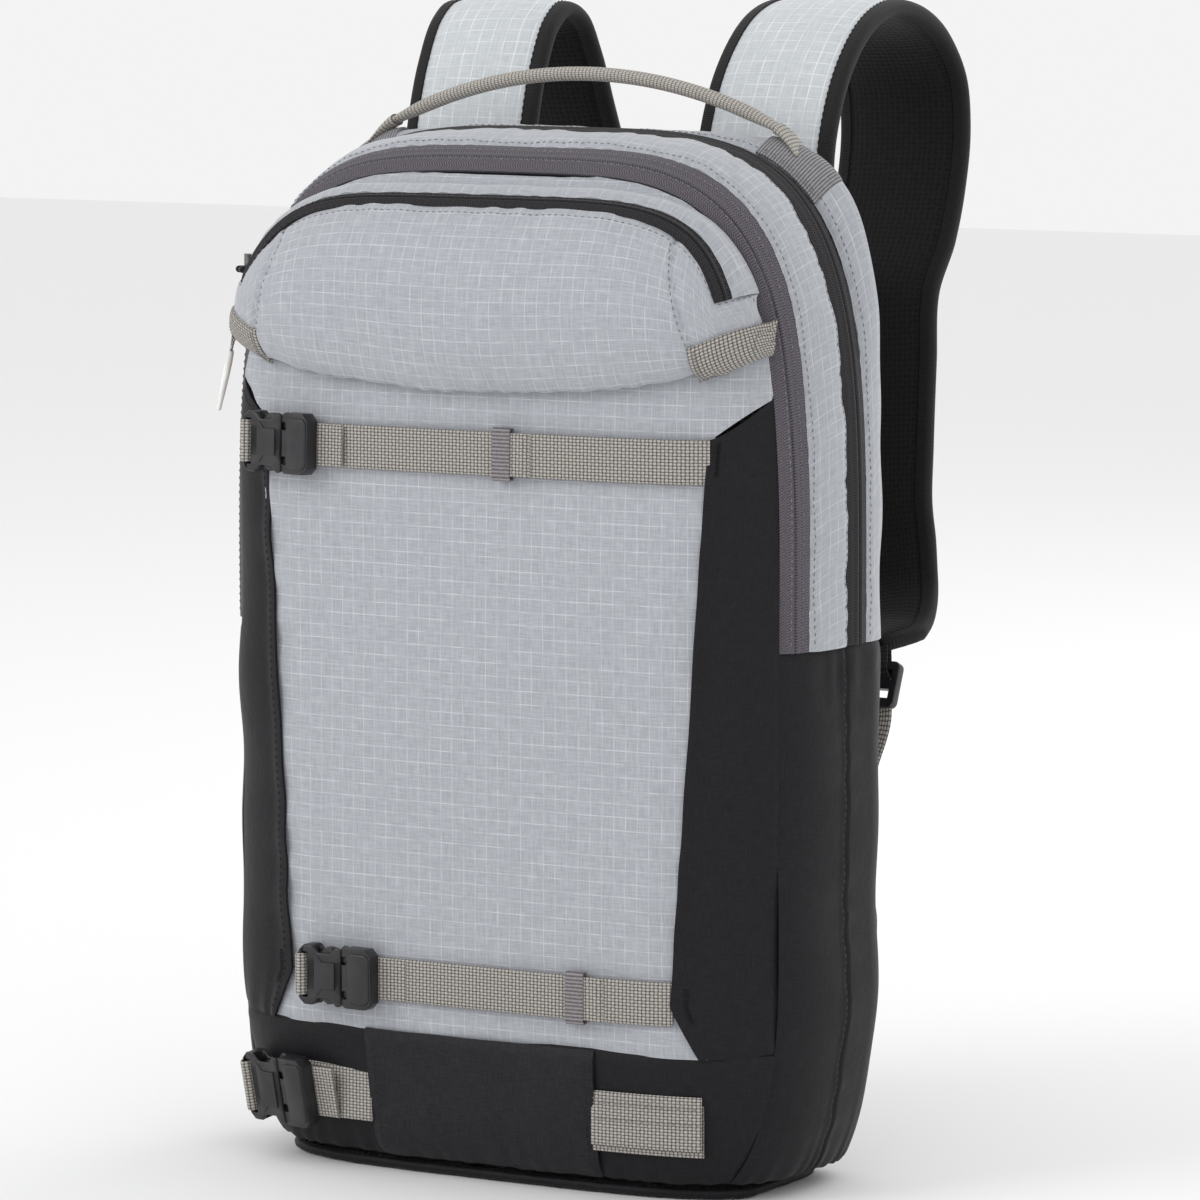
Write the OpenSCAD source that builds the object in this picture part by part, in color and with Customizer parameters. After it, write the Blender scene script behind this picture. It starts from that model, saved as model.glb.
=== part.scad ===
// Ski backpack of about 18 litres, in millimetres.
// X runs to the viewer's right, -Y is the front, +Z is up, and the origin is the middle of the base.
// The bag opens at the main zip: everything in front of it folds forward about split_z.

/* [Bag] */
// Half of the bag's width
half_w = 155; // [148:1:162]
// Depth from the widest plane to the middle of the front face
front_d = 112; // [106:1:118]
// Y of the widest plane
wide_y = 50; // [46:1:54]
// Height of the zip ends, where the light upper half meets the dark lower half
split_z = 250; // [242:1:256]
// Height of the dome above the zip ends
top_h = 229; // [222:1:236]
// Height below which the walls draw in towards the base
foot_z = 96; // [86:1:106]
// How far the base draws in: a larger number draws in less
foot_k = 136; // [128:1:146]
// Thickness of a lined fabric wall
cloth = 1.6; // [1.2:0.1:2]
// Gap between two soft pieces
gap = 0.3; // [0.2:0.05:0.5]

/* [Zips] */
// Y of the middle of the main zip
main_zip_y = 16; // [14:1:18]
// Visible width of the main zip
main_zip_w = 18; // [14:1:18]
// Y of the middle of the front zip
front_zip_y = -28.5; // [-30:0.5:-27]
// Visible width of the front zip
front_zip_w = 15; // [12:1:16]

/* [Front] */
// Half width of the light panel at the upper strap
panel_top_x = 117; // [110:1:120]
// Half width of the light panel at the lower strap
panel_low_x = 101; // [96:1:105]
// Height of the panel's bottom edge
panel_low_z = 68; // [64:1:72]
// Height of the middle of the upper strap
upper_strap_z = 336; // [328:1:338]
// Height of the middle of the lower strap
lower_strap_z = 92; // [86:1:98]
// Width of the two cross straps
strap_w = 20; // [18:1:20]
// How far the top pocket stands out
pocket_bulge = 18; // [14:1:20]
// Height at which the pocket's flap folds down
flap_z = 404; // [400:1:408]

/* [Bottom strap] */
// Height of the middle of the bottom strap
ski_strap_z = 36; // [34:1:38]
// Width of the bottom strap
ski_strap_w = 25; // [20:1:25]

/* [Buckles] */
// Closed length of a side-release buckle
buckle_l = 40; // [38:1:42]
// Thickness of a buckle
buckle_t = 8.6; // [8.2:0.1:9]
// Free play between the parts of a buckle
play = 0.3; // [0.2:0.05:0.4]

/* [Carrying] */
// Half width of the haul handle between its ends
handle_x = 104; // [98:1:108]
// Height of the haul handle's arch above its ends
handle_h = 24; // [20:1:28]
// Thickness of the haul handle
handle_t = 7; // [6:0.5:10]
// Thickness of a shoulder strap
pad_t = 12; // [10:1:13]
// Width of a shoulder strap at the top
pad_w = 72; // [66:1:74]

/* [Hidden] */

$fn = 32;
light_cloth = "#bcbdc2";
dark_cloth = "#28262a";
lining = "#8f9196";
webbing = "#a8a39f";
moulded = "#333135";
pad_cloth = "#d2d5d9";
zip_brown = "#645f65";
pull_white = "#e8e8e6";

back_y = 58;          // rear edge of the soft walls
corner_r = 30;        // rounding of the rear edge
panel_y = 60;         // outer face of the back panel
rows_z = 12;          // rows of facets up a wall
cols_x = 14;          // columns of facets across a front piece
arc_n = 36;           // facets round the dome

// Room left for width and depth at a height: 1 in the middle, less under the dome and near the base.
function room(z, t) =
    1 - pow(max(z - split_z, 0) / (top_h - t), 4) - pow(max(foot_z - z, 0) / foot_k, 2.2);
// The wall turns in over the last few millimetres before the rear edge.
function edge_in(y) =
    let (e = min(max(y - (back_y - corner_r), 0), corner_r - 0.2))
    corner_r - sqrt(corner_r * corner_r - e * e);
// Half width of the bag's skin at a depth and height, set in by t.
function side_x(y, z, t = 0) =
    (half_w - t - edge_in(y))
    * pow(max(room(z, t) - pow(max(wide_y - y, 0) / (front_d - t), 5), 0), 1 / 4);
// Depth of the bag's front skin, set in by t.
function front_y(x, z, t = 0) =
    wide_y - (front_d - t)
    * pow(max(room(z, t) - pow(abs(x) / (half_w - t), 4), 0.0001), 1 / 5);
// Behind the main zip the outline grows squarer, because the back's stiffener holds the cloth out.
back_power = 6;
function outline_power(y) =
    mix(4, back_power, min(max((y - main_zip_y - main_zip_w / 2) / 15, 0), 1));
// A point on the dome's outline at depth y: a is 0 on the right, 90 at the top.
function dome(y, a, t = 0) =
    let (k = pow(1 - pow(max(wide_y - y, 0) / (front_d - t), 5), 1 / 4), p = outline_power(y))
    let (r = k / pow(pow(abs(cos(a)), p) + pow(sin(a), p), 1 / p))
    [(half_w - t - edge_in(y)) * r * cos(a), y, split_z + gap / 2 + (top_h - t - edge_in(y)) * r * sin(a)];

function mix(a, b, u) = a + (b - a) * u;
function flat_list(rows) = [for (r = rows) each r];
function grid(nu, nv, f) = [for (i = [0:nu]) [for (j = [0:nv]) f(i / nu, j / nv)]];
// Two triangles for one cell of a grid, turned over when flip is true.
function cell(a, b, c, d, flip) = flip ? [[a, c, b], [a, d, c]] : [[a, b, c], [a, c, d]];

// A closed solid between an outer and an inner grid of points.
module sheet(outer, inner) {
    n = len(outer);
    m = len(outer[0]);
    k = n * m;
    lead = cross(outer[1][1] - outer[0][0], outer[0][1] - outer[1][0]);
    flip = lead * (outer[0][0] - inner[0][0]) > 0;
    id = function(i, j) i * m + j;
    skin = [for (i = [0:n - 2], j = [0:m - 2])
        each cell(id(i, j), id(i, j + 1), id(i + 1, j + 1), id(i + 1, j), flip)];
    under = [for (i = [0:n - 2], j = [0:m - 2])
        each cell(k + id(i, j), k + id(i, j + 1), k + id(i + 1, j + 1), k + id(i + 1, j), !flip)];
    ends = [for (i = [0:n - 2], j = [0, m - 1])
        each cell(id(i, j), id(i + 1, j), k + id(i + 1, j), k + id(i, j), (j > 0) != flip)];
    sides = [for (j = [0:m - 2], i = [0, n - 1])
        each cell(id(i, j), id(i, j + 1), k + id(i, j + 1), k + id(i, j), (i == 0) != flip)];
    polyhedron(points = concat(flat_list(outer), flat_list(inner)),
        faces = concat(skin, under, ends, sides), convexity = 6);
}

// A sheet between two insets of a surface given as f(u, v, t).
module wall(nu, nv, f, t0 = 0, t1 = cloth) {
    sheet(grid(nu, nv, function(u, v) f(u, v, t0)), grid(nu, nv, function(u, v) f(u, v, t1)));
}

// A band of the dome between two depths.
module dome_band(y0, y1, t0 = 0, t1 = cloth, a0 = 0, a1 = 180, na = arc_n, ny = 3) {
    wall(na, ny, function(u, v, t) dome(mix(y0, y1, v), mix(a0, a1, u), t), t0, t1);
}

// A patch of the front skin. xa(z, t) and xb(z, t) bound it sideways, za(u) and zb(u) below and above.
module front_patch(xa, xb, za, zb, t0 = 0, t1 = cloth, nx = cols_x, nz = rows_z) {
    wall(nx, nz, function(u, v, t)
        let (z = mix(za(u), zb(u), v), x = mix(xa(z, t), xb(z, t), u)) [x, front_y(x, z, t), z], t0, t1);
}

// Edges of the light panel and the wings.
front_edge_y = front_zip_y - front_zip_w / 2;
wing_top_z = 346;
wing_rise = 18;
notch_z = 91;
notch_x = 12;
function panel_x(z) =
    z < notch_z ? panel_low_x + notch_x * (notch_z - z) / (notch_z - panel_low_z)
    : mix(panel_low_x, panel_top_x, (z - notch_z) / (wing_top_z - notch_z));
function zip_x(z, t = 0) = side_x(front_edge_y - gap, z, t);
// Across the top of the wing the light cloth widens until it meets the front zip.
function upper_edge_x(z, t) =
    z < wing_top_z ? panel_x(z)
    : z < wing_top_z + wing_rise
        ? mix(panel_x(wing_top_z), zip_x(wing_top_z + wing_rise, t), (z - wing_top_z) / wing_rise)
    : zip_x(z, t);

wall_rows = [8, 24, 44, 68, foot_z, split_z - gap / 2];
module back_panel() {
    color(dark_cloth)
    translate([0, panel_y, 0]) rotate([90, 0, 0]) linear_extrude(panel_y - back_y - gap)
        polygon(concat(
            [for (z = wall_rows) [side_x(back_y, z), z]],
            [for (a = [6:6:174]) let (p = dome(back_y, a)) [p[0], p[2]]],
            [for (i = [len(wall_rows) - 1:-1:0]) [-side_x(back_y, wall_rows[i]), wall_rows[i]]]));
}

// A rectangle with round corners, centred.
module soft_rect(w, h, r) {
    polygon([for (c = [[1, 1, 0], [-1, 1, 90], [-1, -1, 180], [1, -1, 270]], a = [0:15:90])
        [c[0] * (w / 2 - r) + r * cos(a + c[2]), c[1] * (h / 2 - r) + r * sin(a + c[2])]]);
}

module back_slab(w, z0, z1, y0, y1, r, x = 0) {
    translate([x, y1, (z0 + z1) / 2]) rotate([90, 0, 0]) linear_extrude(y1 - y0)
        soft_rect(w, z1 - z0, r);
}

foam_t = 12;
module back_foam() {
    color(dark_cloth)
    for (s = [-1, 1]) {
        back_slab(88, 250, 392, panel_y + gap, panel_y + foam_t, 22, s * 53);
        back_slab(88, 94, 238, panel_y + gap, panel_y + foam_t, 22, s * 53);
    }
    color(dark_cloth) back_slab(196, 30, 82, panel_y + gap, panel_y + foam_t, 20);
}

module frame_sheet() {
    color("#e2e0da") back_slab(220, 30, 424, 55.4, 57.2, 34);
}

module laptop_sleeve() {
    color(lining) {
        back_slab(236, 20, 306, 46, 47.4, 20);
        back_slab(224, 308, 320, 45.6, 47.8, 5);
    }
}

module rear_strip() {
    color(light_cloth)
    wall(arc_n, 6, function(u, v, t)
        dome(mix(main_zip_y + main_zip_w / 2 + gap, back_y - 0.4, pow(v, 0.8)), 180 * u, t));
}

module main_zip_rear() {
    color(dark_cloth) dome_band(main_zip_y + gap / 2, main_zip_y + main_zip_w / 2, ny = 1);
}

module side_panel(s) {
    color(dark_cloth)
    wall(12, rows_z, function(u, v, t)
        let (y = mix(front_edge_y + gap, back_y - 0.4, pow(u, 0.8)), z = mix(8, split_z - gap / 2, v))
        [s * side_x(y, z, t), y, z]);
}
module side_panel_left() { side_panel(-1); }
module side_panel_right() { side_panel(1); }

divider_y = front_zip_y + front_zip_w / 2 - 1.5;
divider_t = 1.4;
inset = cloth + gap;
module divider_lower() {
    color(lining)
    translate([0, divider_y + divider_t, 0]) rotate([90, 0, 0]) linear_extrude(divider_t)
        polygon(concat(
            [for (z = wall_rows) [side_x(divider_y, z, inset), z]],
            [for (i = [len(wall_rows) - 1:-1:0]) [-side_x(divider_y, wall_rows[i], inset), wall_rows[i]]]));
}
module divider_upper() {
    color(lining)
    translate([0, divider_y + divider_t, 0]) rotate([90, 0, 0]) linear_extrude(divider_t)
        polygon([for (a = [0:5:180]) let (p = dome(divider_y, a, inset)) [p[0], p[2]]]);
}

// Plan outline of the base, drawn in by t.
function base_outline(t) =
    let (w = side_x(wide_y, 0, t), front = [for (q = [-1:0.125:1])
        let (x = w * sin(q * 90)) [x, max(front_y(x, 0, t), -200)]])
    let (c = back_y - corner_r, r = corner_r - t)
    concat(front,
        [for (a = [0:15:90]) [w - corner_r + corner_r * cos(a), c + r * sin(a)]],
        [for (a = [90:15:180]) [-w + corner_r + corner_r * cos(a), c + r * sin(a)]]);

module base_panel() {
    color(dark_cloth) linear_extrude(2.6) polygon(base_outline(7));
}

piping_r = 2.4;
// A round cord all round the base's edge.
module base_piping() {
    line = base_outline(3.5);
    n = len(line);
    ring = function(i)
        let (p = line[i], q = line[(i + 1) % n] - line[(i + n - 1) % n], l = norm(q),
            out = [q[1] / l, -q[0] / l])
        [for (a = [0:60:300]) [p[0] + out[0] * piping_r * cos(a), p[1] + out[1] * piping_r * cos(a),
            piping_r + 0.1 + piping_r * sin(a)]];
    pts = [for (i = [0:n - 1]) each ring(i)];
    color(dark_cloth) polyhedron(points = pts, convexity = 8, faces = [for (i = [0:n - 1], j = [0:5])
        let (a = i * 6 + j, b = i * 6 + (j + 1) % 6, c = ((i + 1) % n) * 6 + (j + 1) % 6,
            d = ((i + 1) % n) * 6 + j)
        each cell(a, b, c, d, true)]);
}

module front_bottom_panel() {
    edge = function(z, t) zip_x(z, t);
    color(dark_cloth)
    front_patch(function(z, t) -edge(z, t), edge, function(u) 8, function(u) panel_low_z - gap, nx = 20, nz = 5);
}

module front_panel_lower() {
    color(light_cloth)
    front_patch(function(z, t) gap - panel_x(z), function(z, t) panel_x(z) - gap,
        function(u) panel_low_z + gap, function(u) split_z - gap / 2);
}

// Rows of facets fall on both ends of the slanted edge above each wing.
upper_rows = let (z0 = split_z + gap / 2, z2 = wing_top_z + wing_rise, z3 = dome(front_edge_y, 90)[2] - 7)
    concat([for (i = [0:7]) mix(z0, wing_top_z, i / 8)], [for (i = [0:1]) mix(wing_top_z, z2, i / 2)],
        [for (i = [0:8]) mix(z2, z3, i / 8)]);
module front_panel_upper() {
    color(light_cloth)
    wall(20, len(upper_rows) - 1, function(u, v, t)
        let (z = upper_rows[round(v * (len(upper_rows) - 1))], x = upper_edge_x(z, t) - gap)
        [mix(-x, x, u), front_y(mix(-x, x, u), z, t), z]);
}

// Corner cloth between the light panel and the front zip.
module wing(s, z0, z1) {
    color(dark_cloth)
    wall(8, rows_z, function(u, v, t)
        let (z = mix(z0, z1 + (z1 > split_z ? wing_rise * u : 0), v),
            x = mix(panel_x(z) + gap, zip_x(z, t), pow(u, 0.7)))
        [s * x, front_y(x, z, t), z]);
}
module wing_lower_left() { wing(-1, panel_low_z + gap, split_z - gap / 2); }
module wing_lower_right() { wing(1, panel_low_z + gap, split_z - gap / 2); }
module wing_upper_left() { wing(-1, split_z + gap / 2, wing_top_z - 2 * gap); }
module wing_upper_right() { wing(1, split_z + gap / 2, wing_top_z - 2 * gap); }

module gusset() {
    color(light_cloth)
    dome_band(front_zip_y + front_zip_w / 2 + gap, main_zip_y - main_zip_w / 2 - gap, ny = 4);
}
module main_zip_front() {
    color(dark_cloth) dome_band(main_zip_y - main_zip_w / 2, main_zip_y - gap / 2, ny = 1);
}
module front_zip() {
    color(zip_brown) dome_band(front_edge_y, front_zip_y + front_zip_w / 2);
}

// A flat strap on the front skin. It stands clear of the cloth between its ends.
lift = 1.6;
web_t = 1.5;
module cross_strap(x0, x1, z, w) {
    rise = function(u) gap + lift * min(1, u * (x1 - x0) / 12, (1 - u) * (x1 - x0) / 12);
    at = function(u, v, t)
        let (x = mix(x0, x1, u), zz = z + w * (v - 0.5)) [x, front_y(x, zz, -t), zz];
    color(webbing)
    sheet(grid(24, 2, function(u, v) at(u, v, rise(u) + web_t)), grid(24, 2, function(u, v) at(u, v, rise(u))));
}
upper_strap_x = [-122, panel_top_x - 1];
lower_strap_x = [-93, panel_low_x - 1];
module upper_strap() { cross_strap(upper_strap_x[0], upper_strap_x[1], upper_strap_z, strap_w); }
module lower_strap() { cross_strap(lower_strap_x[0], lower_strap_x[1], lower_strap_z, strap_w); }

// Places its children on the front skin, -Y outwards, X along the strap.
function yaw(x, z) = atan((front_y(x + 0.5, z) - front_y(x - 0.5, z)));
function pitch(x, z) = -atan((front_y(x, z + 0.5) - front_y(x, z - 0.5)) * cos(yaw(x, z)));
module on_front(x, z) {
    translate([x, front_y(x, z), z]) rotate([pitch(x, z), 0, yaw(x, z)]) children();
}

// A loop round a cross strap that slides along it.
keeper_w = 18;
keeper_wall = 0.8;
keeper_play = 0.5;
module keeper() {
    inner_t = web_t + 2 * keeper_play;
    low = gap + lift - keeper_play;
    color("#8a8486")
    difference() {
        translate([-keeper_w / 2, -low - inner_t - keeper_wall, -strap_w / 2 - 1.4])
            cube([keeper_w, inner_t + 2 * keeper_wall, strap_w + 2.8]);
        translate([-keeper_w, -low - inner_t, -strap_w / 2 - 0.6])
            cube([2 * keeper_w, inner_t, strap_w + 1.2]);
    }
}
upper_keeper_x = 22;
lower_keeper_x = 60;
module upper_keeper() { on_front(upper_keeper_x, upper_strap_z) keeper(); }
module lower_keeper() { on_front(lower_keeper_x, lower_strap_z) keeper(); }

// Side-release buckle. Local X runs from the socket's web slot to the plug's, Z is its width.
plate_t = 1.9;
mouth_x = 4;
arm_pin_x = 5.4;
arm_pin_z = 8;
arm_pin_r = 1.7;
module slab(t, off) { translate([0, -off, 0]) rotate([90, 0, 0]) linear_extrude(t) children(); }
module web_slot(x, w) { translate([x - 1.5, -w / 2 - 0.4]) square([3, w + 0.8]); }

module socket(w) {
    h = w / 2 + 4;
    e = -buckle_l / 2;
    half = [[e, 0], [e, h - 3], [e + 3, h], [e + 8, h], [e + 11, h - 3.4], [-2, h - 3.4], [1, h], [mouth_x, h - 0.6],
        [mouth_x, 0]];
    color(moulded)
    difference() {
        slab(buckle_t, 0) difference() {
            union() { polygon(half); mirror([0, 1]) polygon(half); }
            web_slot(e + 3.6, w);
        }
        translate([e + 8, -buckle_t + plate_t, -h - 1]) cube([buckle_l, buckle_t - 2 * plate_t, 2 * h + 2]);
    }
}

module plug_arm(s) {
    core = buckle_t - 2 * plate_t - 2 * play;
    color(moulded) slab(core, plate_t + play) scale([1, s]) {
        translate([arm_pin_x, arm_pin_z]) circle(arm_pin_r);
        polygon([[arm_pin_x, arm_pin_z - 1.4], [arm_pin_x, arm_pin_z + 1.4], [-1.5, 10.4], [-2.2, 13],
            [-5, 13.4], [-9, 10.6], [-11.3, 8.8], [-11.3, 7.4], [-4, 7.6]]);
    }
}

module plug_body(w) {
    h = w / 2 + 4;
    e = buckle_l / 2;
    half = [[mouth_x + play, 0], [mouth_x + play, h - 1], [mouth_x + 2, h], [e - 3, h], [e, h - 3], [e, 0]];
    core = buckle_t - 2 * plate_t - 2 * play;
    color(moulded) {
        difference() {
            slab(buckle_t - 1.6, 0.8) difference() {
                union() { polygon(half); mirror([0, 1]) polygon(half); }
                web_slot(e - 9.2, w);
                web_slot(e - 3.8, w);
            }
            for (s = [-1, 1]) slab(buckle_t, 0) translate([arm_pin_x, s * arm_pin_z]) circle(arm_pin_r + play);
        }
        slab(core, plate_t + play) translate([-8, -2.2]) square([mouth_x + 9, 4.4]);
    }
}

// The whole plug with its arms, for the buckles whose arms are one piece with it.
module plug_with_arms(w) {
    plug_body(w);
    for (s = [-1, 1]) {
        plug_arm(s);
        color(moulded) slab(3.2, 2.7) translate([arm_pin_x, s * arm_pin_z - 1.2]) square([3, 2.4]);
    }
}

buckle_off = gap + lift + web_t + gap;
ski_off = gap + web_t + gap;
upper_buckle_x = -101;
lower_buckle_x = -69;
ski_buckle_x = -106;
module at_upper_buckle() { on_front(upper_buckle_x, upper_strap_z) translate([0, -buckle_off, 0]) children(); }
module at_lower_buckle() { on_front(lower_buckle_x, lower_strap_z) translate([0, -buckle_off, 0]) children(); }
module at_ski_buckle() { on_front(ski_buckle_x, ski_strap_z) translate([0, -ski_off - 1, 0]) children(); }
module upper_buckle_socket() { at_upper_buckle() socket(strap_w); }
module upper_buckle_plug() { at_upper_buckle() plug_body(strap_w); }
module upper_buckle_arm_top() { at_upper_buckle() plug_arm(1); }
module upper_buckle_arm_bottom() { at_upper_buckle() plug_arm(-1); }
module lower_buckle_socket() { at_lower_buckle() socket(strap_w); }
module lower_buckle_plug() { at_lower_buckle() plug_body(strap_w); }
module lower_buckle_arm_top() { at_lower_buckle() plug_arm(1); }
module lower_buckle_arm_bottom() { at_lower_buckle() plug_arm(-1); }
module ski_buckle_socket() { at_ski_buckle() socket(ski_strap_w); }
module ski_buckle_plug() { at_ski_buckle() plug_with_arms(ski_strap_w); }

// Webbing patches sewn flat on the front skin.
module sewn_web(x0, x1, z, w, layers = 1, n = 8) {
    color(webbing)
    front_patch(function(zz, t) x0, function(zz, t) x1, function(u) z - w / 2, function(u) z + w / 2,
        -gap - layers * web_t, -gap, n, 4);
}
module ski_strap() { sewn_web(-134, -62, ski_strap_z, ski_strap_w, n = 10); }
module ski_webbing() { sewn_web(64, 112, ski_strap_z, ski_strap_w + 3, 2); }
module bottom_flap() {
    color("#333136")
    front_patch(function(z, t) -60, function(z, t) 62, function(u) 13, function(u) panel_low_z - 2,
        -gap - 2, -gap, 10, 5);
}

// Top pocket. Its outline on the front is a curved top line over a slightly arched seam.
pocket_x = 146;
pocket_rise = 206;
pocket_seam_z = 362;
function pocket_top(x) = split_z + pocket_rise * pow(max(1 - pow(abs(x) / pocket_x, 5), 0), 1 / 4);
function pocket_seam(x) = pocket_seam_z + 12 * pow(x / 112, 2);
// The pocket swells quickly from its seams and is nearly flat in the middle.
function swell(x, z, top_x) =
    let (v = (z - pocket_seam(x)) / max(pocket_top(x) - pocket_seam(x), 1))
    2.4 + pocket_bulge * pow(max(sin(180 * min(max(v, 0), 1)), 0), 0.55)
        * pow(max(1 - pow(abs(x) / top_x, 6), 0), 0.5);
function pocket_pt(x, z, t) = [x, front_y(x, z, t - swell(x, z, 140)), z];
lower_pocket_x = 138;
flap_x = 131;
zip_band = 9;
module pocket_lower() {
    color(light_cloth)
    wall(20, 5, function(u, v, t)
        let (x = lower_pocket_x * sin(180 * u - 90), top = min(flap_z - gap / 2, pocket_top(x) - zip_band / 2))
        pocket_pt(x, mix(pocket_seam(x), top, v), t));
}
module pocket_flap() {
    color(light_cloth)
    wall(20, 6, function(u, v, t)
        let (x = flap_x * sin(180 * u - 90), top = max(pocket_top(x) - zip_band, flap_z + 3))
        pocket_pt(x, mix(flap_z + gap / 2, top, v), t));
}
module pocket_zip() {
    color(dark_cloth)
    wall(24, 2, function(u, v, t)
        let (x = (flap_x + 1) * sin(180 * u - 90), low = max(pocket_top(x) - zip_band, flap_z + 3) + 2 * gap)
        pocket_pt(x, mix(low, low + zip_band - 1, v), t));
}

// Short bars of webbing that hold the pocket's lower corners.
module pocket_bars() {
    color(webbing)
    for (s = [-1, 1])
        wall(10, 5, function(u, v, t)
            let (x = mix(114, 140, u), z = pocket_seam(x) - 1 + 15 * v + 0.2 * (x - 114), p = pocket_pt(x, z, t))
            [s * p[0], p[1], p[2]], -2.8, -1.4);
}

// Haul handle: an arched round grip between two sewn tabs.
handle_y = 36;
handle_z = split_z + top_h + 0.5;
handle_r = (handle_x * handle_x + handle_h * handle_h) / (2 * handle_h);
module haul_handle() {
    half = asin(handle_x / handle_r);
    color(webbing)
    translate([0, handle_y, handle_z + handle_h - handle_r]) rotate([90, 0, 0])
        rotate([0, 0, 90 - half]) rotate_extrude(angle = 2 * half) translate([handle_r, 0])
            circle(handle_t / 2);
}
module handle_tabs() {
    color("#8c8b8e") {
        dome_band(27, 45, -2 * gap - 1.6, -2 * gap, 47, 58, 6, 4);
        dome_band(27, 45, -2 * gap - 1.6, -2 * gap, 122, 133, 6, 4);
    }
}

// Shoulder strap: centre line and half widths from the back panel over the shoulder to its lower end.
strap_tail = [[80, 174, 400], [83, 169, 365], [87, 163, 325], [90, 159, 300], [94, 158, 278], [98, 153, 260],
    [104, 140, 247], [110, 112, 237]];
arch_right = [[76, 68.5, 402], [76, 69, 440], [76, 73, 475], [76, 90, 507], [76, 113, 526], [76, 140, 533],
    [76, 165, 529], [76, 188, 517], [77, 203, 497], [78, 205, 475], [79, 198, 445], [80, 187, 422]];
arch_left = [[84, 68.5, 402], [84, 69, 440], [84, 74, 476], [84, 84, 506], [85, 97, 524], [86, 112, 531],
    [86, 126, 526], [86, 138, 510], [86, 150, 486], [85, 162, 458], [83, 170, 428]];
tail_half = [for (i = [0:7]) mix(pad_w / 2 - 3, 22, i / 7)];
line_right = concat(arch_right, strap_tail);
line_left = concat(arch_left, strap_tail);
half_right = concat([for (p = arch_right) pad_w / 2], tail_half);
half_left = concat([for (p = arch_left) pad_w / 2], tail_half);

// A band swept along a line in Y and Z, width along X, with chamfered edges.
module band(line, half, t, s = 1) {
    n = len(line);
    ring = function(i)
        let (a = line[max(i - 1, 0)], b = line[min(i + 1, n - 1)], d = b - a,
            l = norm([d[1], d[2]]), up = [0, d[2] / l, -d[1] / l], w = half[i], c = t * 0.32)
        [for (q = [[-w, -t / 2 + c], [-w + c, -t / 2], [w - c, -t / 2], [w, -t / 2 + c], [w, t / 2 - c],
            [w - c, t / 2], [-w + c, t / 2], [-w, t / 2 - c]])
            [s * (line[i][0] + q[0]), line[i][1] + up[1] * q[1], line[i][2] + up[2] * q[1]]];
    flip = s < 0;
    polyhedron(points = [for (i = [0:n - 1]) each ring(i)], convexity = 6, faces = concat(
        [for (i = [0:n - 2], j = [0:7]) let (k = (j + 1) % 8)
            each cell(i * 8 + j, i * 8 + k, i * 8 + 8 + k, i * 8 + 8 + j, flip)],
        [for (j = [1:6]) flip ? [0, j, j + 1] : [0, j + 1, j]],
        [for (j = [1:6]) let (e = (n - 1) * 8) flip ? [e, e + j + 1, e + j] : [e, e + j, e + j + 1]]));
}
module shoulder_strap_left() { color(pad_cloth) band(line_left, half_left, pad_t, -1); }
module shoulder_strap_right() { color(pad_cloth) band(line_right, half_right, pad_t); }

web_line = [[117, 101, 206], [115, 90, 180], [118, 78, 152], [124, 68, 130], [131, 62.4, 112]];
web_half = [for (p = web_line) strap_w / 2];
module strap_webbing_left() { color(webbing) band(web_line, web_half, web_t, -1); }
module strap_webbing_right() { color(webbing) band(web_line, web_half, web_t); }

// Ladder lock between the padded strap and its webbing, in line with both.
lock_pos = [114, 106, 220];
lock_tilt = -23;
lock_l = 22;
lock_w = 28;
lock_t = 5;
module ladder_lock(s) {
    color(moulded)
    translate([s * lock_pos[0], lock_pos[1], lock_pos[2]]) rotate([lock_tilt, 0, 0])
    translate([0, lock_t / 2, 0]) rotate([90, 0, 0]) linear_extrude(lock_t) difference() {
        soft_rect(lock_w, lock_l, 3);
        for (z = [-4.6, 4.6]) translate([0, z]) square([lock_w - 7, 4.4], center = true);
    }
}
module ladder_lock_left() { ladder_lock(-1); }
module ladder_lock_right() { ladder_lock(1); }

// Sternum strap across the two shoulder straps, on their outer faces.
sternum_z = 348;
sternum_y = 173.4;
sternum_tilt = -8.5;
sternum_off = web_t + gap;
module at_sternum() {
    translate([0, sternum_y, sternum_z]) rotate([sternum_tilt, 0, 0]) rotate([0, 0, 180]) children();
}
module sternum_web(s) {
    color(webbing) at_sternum()
    translate([s > 0 ? 0.2 : -100, -web_t, -strap_w / 2]) cube([99.8, web_t, strap_w]);
}
module sternum_strap_left() { sternum_web(1); }
module sternum_strap_right() { sternum_web(-1); }
module sternum_buckle_socket() { at_sternum() translate([0, -sternum_off, 0]) socket(strap_w); }
module sternum_buckle_plug() { at_sternum() translate([0, -sternum_off, 0]) plug_with_arms(strap_w); }

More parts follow.
